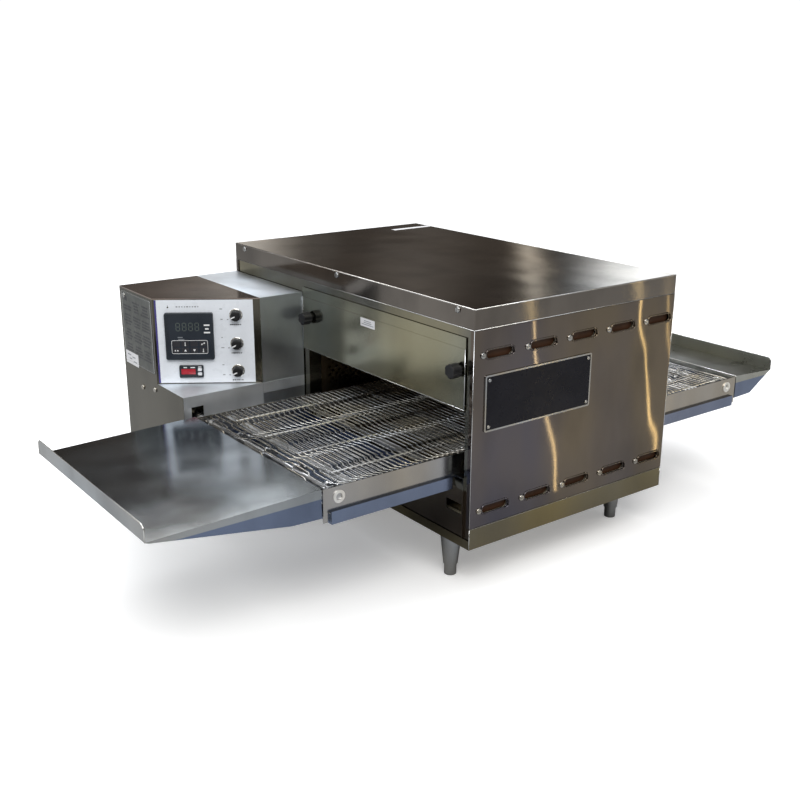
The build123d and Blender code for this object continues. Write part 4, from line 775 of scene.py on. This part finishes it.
BADGE_BORDER, BADGE_FIELD = 0.0032, (0.0025, 0.0019)   # width of the border; the field's back and front


class Badge(bpy.types.Operator):
    """Plain black field inside the badge's bright border"""
    bl_idname = "oven.badge"
    bl_label = "Badge"

    def execute(self, context):
        lo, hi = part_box("badge_plate")
        field = Sheet(facing("front", Vector((0, 0, 0))))
        inset = BADGE_BORDER
        back, front = (-(lo.y + depth) for depth in BADGE_FIELD)
        field.prism(round_rect(lo.x + inset, hi.x - inset, lo.z + inset, hi.z - inset, 0.003), back, front,
                    "badge black", 0.0002)
        field.done("badge_field", ROOT, "badge")
        return {"FINISHED"}


SWITCHES = ("blower_switch", "heat_switch", "conveyor_switch")
# turned profiles of a switch knob, as (radius, height) in metres
DIAL_RING = [(0.0135, 0.0004), (0.0135, 0.0010), (0.0128, 0.0018), (0.0112, 0.0020)]
KNOB_CAP = [(0.0108, 0.0019), (0.0104, 0.0045), (0.0100, 0.0130), (0.0094, 0.0150), (0.0084, 0.0156),
            (0.0030, 0.0154)]
KNOB_STEM = [(0.0029, -0.0160), (0.0029, 0.0006)]
RIBS = 18
RIB = ((-0.05, 0.0099), (-0.04, 0.0106), (0.04, 0.0106), (0.05, 0.0099))    # turn, radius
POINTER_TURN = radians(205)


def switch_centre(body):
    """Where a switch's axis meets the control face, in the face's frame."""
    return FACE.inverted() @ Vector(JOINTS[body + "_turn"]["pos_m"])


class Knobs(bpy.types.Operator):
    """Switch knobs with a bright ring and a white pointer"""
    bl_idname = "oven.knobs"
    bl_label = "Switch knobs"

    def execute(self, context):
        for body in SWITCHES:
            centre = switch_centre(body)
            knob = Sheet(FACE @ Matrix.Translation((centre.x, centre.y, 0)))
            knob.turned(DIAL_RING, "highlight edge and bright trim", 40)
            knob.turned(KNOB_CAP, "knob black", 40)
            for i in range(RIBS):
                a = 2 * pi * i / RIBS
                knob.prism([(cos(a + t) * q, sin(a + t) * q) for t, q in RIB], 0.0040, 0.0128, "knob black")
            a = POINTER_TURN
            side = Vector((-sin(a), cos(a))) * 0.0011
            tip, root = Vector((cos(a), sin(a))) * 0.0094, Vector((cos(a), sin(a))) * 0.0010
            bar = [root - side, tip - side, tip + side, root + side]
            knob.prism([(p.x, p.y) for p in bar], 0.0150, 0.0162, "white print", 0.0002)
            knob.turned(KNOB_STEM, "turned steel", 16)
            knob.done(body + "_knob_turned", body, "black_plastic", [body + "_knob"])
        return {"FINISHED"}


class FacePrint(bpy.types.Operator):
    """Printing on the control face"""
    bl_idname = "oven.face_print"
    bl_label = "Control face print"

    def execute(self, context):
        film = setting("print").film
        lo_s, hi_s = span("faceplate", FACE_SIDE)
        width = hi_s - lo_s
        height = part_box("faceplate")[1].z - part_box("faceplate")[0].z
        edge = Sheet(FACE)
        edge.block(0.0, 0.0035, 0.0, height, 0, film, "edge print")
        edge.block(0.0, width, 0.0, 0.0006, 0, film, "grey print")
        # small droplet mark and its underline in the header
        edge.turned([(0.0016, 0), (0.0016, film)], "black print", 16, (0.026, height - 0.0145))
        edge.block(0.0256, 0.0264, height - 0.013, height - 0.0105, 0, film, "black print")
        edge.done("face_borders", ROOT, "white_panel")
        rows = [(0.044 + i * 0.0052, height - 0.0135) for i in range(9)]
        printed("face_header", FACE, rows, ROOT, "black_plastic", "grey print", 0.0042, 0.0022)
        marks, names = [], []
        for body in SWITCHES:
            spot = switch_centre(body)
            marks += [(spot.x - 0.029, spot.y + 0.0125), (spot.x - 0.0285, spot.y - 0.0085),
                      (spot.x - 0.0165, spot.y - 0.009)]
            names += [(spot.x - 0.0105 + i * 0.0038, spot.y - 0.0195) for i in range(6)]
        printed("switch_positions", FACE, marks, ROOT, "black_plastic", "grey print", 0.0062, 0.0016)
        printed("switch_names", FACE, names, ROOT, "black_plastic", "black print", 0.0032, 0.0024, 3)
        return {"FINISHED"}


# a figure's segments: how far across and up, in half widths and half heights, and whether it lies flat
SEGMENTS = ((0, 2, 1), (0, 1, 1), (0, 0, 1), (-1, 1.5, 0), (1, 1.5, 0), (-1, 0.5, 0), (1, 0.5, 0))


class Controller(bpy.types.Operator):
    """Display, keypad and marks of the square temperature controller"""
    bl_idname = "oven.controller"
    bl_label = "Temperature controller"

    def execute(self, context):
        film = setting("print").film
        x, y, front = on_face("temperature_controller")
        recess = 0.0008
        place = FACE @ Matrix.Translation((x, y, front - recess))
        face = Sheet(place)
        top = 0.0003
        face.prism(round_rect(-0.0428, 0.0428, -0.0428, 0.0428, 0.002), 0, top, "membrane", 0.0001)
        # four unlit seven-segment figures
        for n in range(4):
            cx, cy, w, h = -0.0215 + n * 0.0125, 0.0125, 0.0036, 0.0078
            for dx, dy, flat in SEGMENTS:
                px, py = cx + dx * w, cy + dy * h
                a, b = (w * 0.72, 0.0007) if flat else (0.0007, h * 0.40)
                face.block(px - a, px + a, py - b, py + b, top, top + film, "dim segment")
        # keypad: rounded white outline and eight key caps
        kx0, kx1, ky0, ky1 = -0.0355, 0.0355, -0.0345, -0.0075
        outline = round_rect(kx0, kx1, ky0, ky1, 0.003)
        face.bead([(p[0], p[1], top) for p in outline], 0.00045, "white print", closed=True, sides=6)
        cell = (kx1 - kx0) / 4
        mid = (ky0 + ky1) / 2
        for i in range(4):
            for j in range(2):
                cx = kx0 + cell * (i + 0.5)
                cy = ky0 + (ky1 - ky0) * (j + 0.5) / 2
                face.prism(round_rect(cx - cell * 0.40, cx + cell * 0.40, cy - 0.0054, cy + 0.0054, 0.0012,
                                      3),
                           top, top + 0.0004, "black print", 0.0001)
        up = top + 0.0004
        lower = (ky0 + mid) / 2
        upper = (ky1 + mid) / 2
        s = 0.0026
        face.prism([(-cell / 2 - s, lower - s * 0.8), (-cell / 2 + s, lower - s * 0.8), (-cell / 2,
                                                                                         lower + s)],
                   up, up + film, "white print")
        face.prism([(cell / 2 - s, lower + s * 0.8), (cell / 2, lower - s), (cell / 2 + s, lower + s * 0.8)],
                   up, up + film, "white print")
        for cx, cy in ((-cell / 2, upper), (1.5 * cell, lower)):
            face.block(cx - 0.0007, cx + 0.0007, cy - 0.0032, cy + 0.0032, up, up + film, "white print")
            face.turned([(0.0014, up), (0.0014, up + film)], "white print", 12, (cx, cy - 0.0030))
        for dx in (-0.0024, 0.0024):
            face.turned([(0.0013, up), (0.0013, up + film)], "white print", 12, (1.5 * cell + dx,
                                                                                 upper + dx * 0.6))
            face.prism([(-1.5 * cell + dx - 0.0018, lower - 0.0016), (-1.5 * cell + dx + 0.0018,
                                                                      lower - 0.0016),
                        (-1.5 * cell + dx, lower + 0.0016)], up, up + film, "white print")
        face.block(1.5 * cell - 0.0030, 1.5 * cell + 0.0030, upper - 0.0003, upper + 0.0003, up, up + film,
                   "white print")
        face.done("controller_face", ROOT, "charcoal_plastic")
        lamp_rows = [(0.0355, 0.0235 - i * 0.0075) for i in range(3)]
        high = place @ Matrix.Translation((0, 0, top))
        printed("controller_lamps", high, lamp_rows, ROOT, "white_plastic", "white print", 0.0135, 0.0030, 4)
        note_rows = [(-0.018, -0.0010), (-0.016, -0.0050)]
        printed("controller_notes", high, note_rows, ROOT, "white_plastic", "grey print", 0.0170, 0.0017, 2)
        return {"FINISHED"}


class Module(bpy.types.Operator):
    """Red window and marks of the small limit module"""
    bl_idname = "oven.module"
    bl_label = "Limit module"

    def execute(self, context):
        x, y, front = on_face("limit_module")
        place = FACE @ Matrix.Translation((x - 0.006, y, front - 0.0016))
        window = Sheet(place)
        window.prism(round_rect(-0.0142, 0.0142, -0.0057, 0.0057, 0.0008, 3), 0, 0.0012, "red window",
                     0.0002)
        window.done("module_window", ROOT, "charcoal_plastic")
        top = FACE @ Matrix.Translation((x, y, front))
        printed("module_marks", top, [(-0.012, 0.0088), (0.003, 0.0088), (0.0170, 0.0098)], ROOT,
                "white_plastic",
                "white print", 0.0090, 0.0018, 5)
        return {"FINISHED"}


# labels: x0, x1, y0, y1 on the sheet that each is stuck to, in metres
DATA_PLATE = (0.009, 0.153, 0.213, 0.365)
DATA_PLATE_T = 0.0007
RATING_TAG = (0.013, 0.075, 0.209, 0.236)
PANEL_LABEL = (-0.326, -0.280, 0.343, 0.359)
LID_STICKER = (0.396, 0.504, 0.750, 0.765)
LABEL_T = 0.0002
LINE_ROWS, LINE_COLUMNS = 19, 3


class Labels(bpy.types.Operator):
    """Data plate and small stickers, with plain lines for their text"""
    bl_idname = "oven.labels"
    bl_label = "Labels"

    def execute(self, context):
        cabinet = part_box("control_box_cover")
        side = facing("left", Vector((cabinet[0].x, cabinet[1].y, cabinet[0].z)))
        plate = Sheet(side)
        # distances run from the cabinet's rear edge towards its front
        plate.prism(round_rect(*DATA_PLATE, 0.003), 0, DATA_PLATE_T, "plate grey", 0.0002)
        x0, x1, y0, y1 = DATA_PLATE
        frame_line = round_rect(x0 + 0.002, x1 - 0.002, y0 + 0.002, y1 - 0.002, 0.002)
        plate.bead([(x, y, DATA_PLATE_T) for x, y in frame_line], 0.0004, "highlight edge and bright trim", closed=True,
                   sides=6)
        plate.done("data_plate", ROOT, "white_panel")
        lift = side @ Matrix.Translation((0, 0, DATA_PLATE_T))
        rows = [(0.036 + c * 0.044, 0.346 - i * 0.0062) for i in range(LINE_ROWS)
                for c in range(LINE_COLUMNS)
                if not (c == 0 and i in (0, 1)) and i % 5 != 4]
        printed("data_plate_lines", lift, rows, ROOT, "black_plastic", "black print", 0.043, 0.0032)
        printed("data_plate_title", lift, [(0.026, 0.352), (0.030, 0.347)], ROOT, "black_plastic",
                "black print",
                0.030, 0.0045, 9)
        tag = Sheet(side)
        tag.block(*RATING_TAG, 0.0008, 0.0010, "paper")
        tag.done("rating_tag", ROOT, "white_panel")
        printed("rating_tag_lines", side @ Matrix.Translation((0, 0, 0.0010)),
                [(0.030, 0.229), (0.052, 0.226), (0.036, 0.221), (0.058, 0.217)], ROOT, "black_plastic",
                "grey print", 0.020, 0.0022, 6)
        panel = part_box("left_end_panel")
        spot = facing("left", Vector((panel[0].x, BODY.y, BODY.z)))
        label = Sheet(spot)
        label.block(*PANEL_LABEL, 0, LABEL_T, "paper")
        label.done("panel_label", "left_panel", "white_panel")
        printed("panel_label_lines", spot @ Matrix.Translation((0, 0, LABEL_T)),
                [(-0.303, 0.3545), (-0.303, 0.351), (-0.303, 0.3475)], "left_panel", "black_plastic",
                "grey print",
                0.038, 0.0014, 8)
        lid = Sheet(Matrix.Translation(Vector((BODY.x, BODY.y, LID[1].z))))
        lid.block(*LID_STICKER, 0, LABEL_T, "paper")
        lid.done("lid_sticker", ROOT, "white_panel")
        return {"FINISHED"}


# ---------------------------------------------------------------- stage

def lamp(name, where, target, size, power, colour=(1, 1, 1)):
    data = bpy.data.lights.new(name, "AREA")
    data.shape = "RECTANGLE"
    data.size, data.size_y = size
    data.energy = power
    data.color = colour
    obj = link(name, data)
    obj.location = where
    obj.rotation_euler = (Vector(target) - Vector(where)).to_track_quat("-Z", "Y").to_euler()
    obj.visible_camera = False
    return obj


# tall thin lamps close to the long plain face: the points in millimetres from the body's corner
STRIPS = (("strip near", (362, -250, 362), (465, -250, -88), 0.055),
          ("strip far", (690, -250, 362), (800, -250, -88), 0.060),
          ("strip edge", (798, -250, 362), (860, -250, -88), 0.025))
STRIP_WIDTH = 0.0045
EYE = (-1100.2, -1256.1, 818.4)   # the camera, in millimetres from the body's corner
LENS = 46.98                      # millimetres, on a 36 mm wide sensor
YAW, PITCH, ROLL = 0.92458, 0.31352, 0.00462
FLOOR_GLOW = 0.28         # keeps the floor white to the camera
DIM_FLOOR = 0.5           # the floor as the steel and the undersides see it
# soft bright and dim patches of the room: azimuth, elevation, half width, half height, strength, colour
PATCHES = ((39.0, 11.0, 2.6, 4.0, 2.3, (0.92, 0.97, 1.0)), (61.5, 9.2, 2.0, 2.4, 0.80, (1.0, 0.96, 0.88)),
           (45.5, 11.5, 0.6, 4.0, 0.70, (1.0, 0.92, 0.78)), (63.0, 22.5, 1.8, 6.0, 0.34, (0.88, 0.96, 1.0)),
           (58.0, 24.0, 2.6, 4.5, 0.60, (0.90, 0.97, 1.0)),
           (122.0, 16.0, 12.0, 8.0, 0.5, (1.0, 0.95, 0.88)),
           (150.0, 15.0, 16.0, 9.0, 0.7, (0.92, 0.96, 1.0)), (-150.0, 20.0, 18.0, 10.0, 0.6, (1.0, 0.95,
                                                                                              0.86)),
           (-100.0, 16.0, 12.0, 9.0, 0.5, (0.94, 0.97, 1.0)), (-45.0, 18.0, 16.0, 9.0, 0.7, (1.0, 0.94,
                                                                                             0.82)),
           (5.0, 16.0, 10.0, 8.0, 0.5, (0.95, 0.97, 1.0)))


def room(scene):
    """A dim room with soft bright patches under a pale ceiling, seen plain white by the camera."""
    world = bpy.data.worlds.new("studio")
    scene.world = world
    world.use_nodes = True
    tree = world.node_tree
    where = tree.nodes.new("ShaderNodeTexCoord").outputs["Generated"]
    axis = add(tree, "ShaderNodeSeparateXYZ", Vector=where).outputs
    turn = sums(tree, "DEGREES", sums(tree, "ARCTAN2", axis["Y"], axis["X"]))
    height = sums(tree, "DEGREES", sums(tree, "ARCSINE", axis["Z"]))
    wobble = add(tree, "ShaderNodeTexNoise", Vector=where, Scale=9.0, Detail=3.0).outputs["Fac"]
    turn = sums(tree, "MULTIPLY_ADD", sums(tree, "SUBTRACT", wobble, 0.5), 9.0, turn)
    clutter = add(tree, "ShaderNodeTexNoise", Vector=where, Scale=4.0, Detail=4.0).outputs["Fac"]
    walls = ramp(tree, clutter, (0.38, (0.020, 0.017, 0.015)), (0.55, (0.060, 0.050, 0.042)),
                 (0.72, (0.17, 0.155, 0.14)))
    climb = ramp(tree, sums(tree, "DIVIDE", height, 90.0), (0.35, 0.0), (0.48, 0.75), (0.62, 1.0))
    total = mix(tree, climb, walls, (1.42, 1.44, 1.46))
    for azimuth, elevation, wide, tall, strength, colour in PATCHES:
        across = sums(tree, "DIVIDE", sums(tree, "SUBTRACT", turn, azimuth), wide)
        over = sums(tree, "DIVIDE", sums(tree, "SUBTRACT", height, elevation), tall)
        reach = sums(tree, "MULTIPLY_ADD", over, over, sums(tree, "MULTIPLY", across, across))
        glow = sums(tree, "MULTIPLY", sums(tree, "POWER", 2.718, sums(tree, "MULTIPLY", reach, -1.0)),
                    strength)
        total = mix(tree, glow, total, colour, blend_type="ADD", clamp_factor=False)
    back = tree.nodes["Background"]
    tree.links.new(total, back.inputs["Color"])
    plain = add(tree, "ShaderNodeBackground", Color=(1, 1, 1, 1), Strength=1.05).outputs[0]
    seen = tree.nodes.new("ShaderNodeLightPath").outputs["Is Camera Ray"]
    both = add(tree, "ShaderNodeMixShader", in_0=seen, in_1=back.outputs[0], in_2=plain).outputs[0]
    tree.links.new(both, tree.nodes["World Output"].inputs["Surface"])


def strip(name, top, foot, power):
    """A thin warm lamp leaning from one point to another, turned to the oven's long face."""
    rise = (top - foot).normalized()
    back = Vector((0, -1, 0))
    side = rise.cross(back).normalized()
    obj = lamp(name, (0, 0, 0), (0, 1, 0), (STRIP_WIDTH, (top - foot).length), power, (1.0, 0.80, 0.42))
    turn = Matrix((side, rise, side.cross(rise))).transposed().to_4x4()
    obj.matrix_world = Matrix.Translation((top + foot) / 2) @ turn
    obj.visible_diffuse = False


class Stage(bpy.types.Operator):
    """Pale floor, soft lights and the camera"""
    bl_idname = "oven.stage"
    bl_label = "Stage"

    def execute(self, context):
        scene = context.scene
        mesh = bpy.data.meshes.new("floor")
        bm = bmesh.new()
        wide = 64
        rings = [[bm.verts.new((r * cos(2 * pi * i / wide), r * sin(2 * pi * i / wide), 0.0))
                  for i in range(wide)]
                 for r in (0.5, 1.0, 2.0, 4.0, 8.0, 16.0, 40.0)]
        bm.faces.new(rings[0])
        for a, b in zip(rings, rings[1:]):
            for i in range(wide):
                bm.faces.new([a[i], b[i], b[(i + 1) % wide], a[(i + 1) % wide]])
        for f in bm.faces:
            f.smooth = True
        bm.to_mesh(mesh)
        bm.free()
        tree, bsdf, xyz = shader("floor paper")
        look = tuple(setting("finishes").floor)
        shade = ramp(tree, noise(tree, xyz, 1.5, 2.0), (0.3, [c * 0.99 for c in look]), (0.7, look))
        put(bsdf, Base_Color=shade, Roughness=0.9, Specular_IOR_Level=0.1, Emission_Color=(1, 1, 1, 1),
            Emission_Strength=FLOOR_GLOW)
        grey = add(tree, "ShaderNodeBsdfDiffuse", Color=(*[c * DIM_FLOOR for c in look], 1)).outputs[0]
        seen = tree.nodes.new("ShaderNodeLightPath").outputs["Is Camera Ray"]
        paper = add(tree, "ShaderNodeMixShader", in_0=seen, in_1=grey, in_2=bsdf.outputs[0]).outputs[0]
        tree.links.new(paper, tree.nodes["Material Output"].inputs["Surface"])
        mesh.materials.append(finish("floor paper"))
        link("floor", mesh)
        room(scene)
        lamp("key", (-1.6, -2.6, 3.0), (0, 0, 0.3), (2.2, 1.6), 80, (1.0, 0.98, 0.95))
        lamp("fill", (-3.2, 1.6, 1.8), (0, 0, 0.3), (1.6, 1.6), 30, (0.92, 0.96, 1.0))
        lamp("top", (0.5, 1.8, 2.8), (0, 0, 0.4), (1.0, 2.4), 40, (0.97, 0.98, 1.0))
        for name, top, foot, power in STRIPS:
            strip(name, at(*top), at(*foot), power)
        scene.view_settings.view_transform = "Standard"

        data = bpy.data.cameras.new("camera")
        data.sensor_width = 36.0
        data.lens = LENS
        data.clip_end = 100
        camera = link("camera", data)
        ahead = Vector((cos(YAW) * cos(PITCH), sin(YAW) * cos(PITCH), -sin(PITCH)))
        right = ahead.cross(Vector((0, 0, 1))).normalized()
        over = right.cross(ahead)
        side = right * cos(ROLL) + over * sin(ROLL)
        rise = over * cos(ROLL) - right * sin(ROLL)
        turn = Matrix((side, rise, -ahead)).transposed()
        camera.matrix_world = Matrix.Translation(at(*EYE)) @ turn.to_4x4()
        scene.camera = camera
        return {"FINISHED"}


class OvenPanel(bpy.types.Panel):
    bl_idname = "VIEW3D_PT_oven"
    bl_label = "Conveyor oven"
    bl_space_type = "VIEW_3D"
    bl_region_type = "UI"
    bl_category = "Oven"

    def draw(self, context):
        for group in GROUPS:
            box = self.layout.box()
            values = setting(group)
            for name in values.bl_rna.properties.keys():
                if name not in ("rna_type", "name"):
                    box.prop(values, name)
        for operator in OPERATORS:
            self.layout.operator(operator.bl_idname)


GROUPS = {"belt": BeltSizes, "panel": PanelSizes, "print": PrintSizes, "finishes": Finishes}
OPERATORS = [Finish, Stage, Belt, Slots, Beads, Ledge, Badge, Knobs, FacePrint, Controller, Module, Labels]


def register():
    for cls in (*GROUPS.values(), *OPERATORS, OvenPanel):
        bpy.utils.register_class(cls)
    for name, group in GROUPS.items():
        setattr(bpy.types.Scene, "oven_" + name, PointerProperty(type=group))


def unregister():
    for name in GROUPS:
        delattr(bpy.types.Scene, "oven_" + name)
    for cls in (OvenPanel, *reversed(OPERATORS), *GROUPS.values()):
        bpy.utils.unregister_class(cls)


def main():
    register()
    for operator in OPERATORS:
        getattr(bpy.ops.oven, operator.bl_idname.split(".")[1])()


if __name__ == "__main__":
    main()
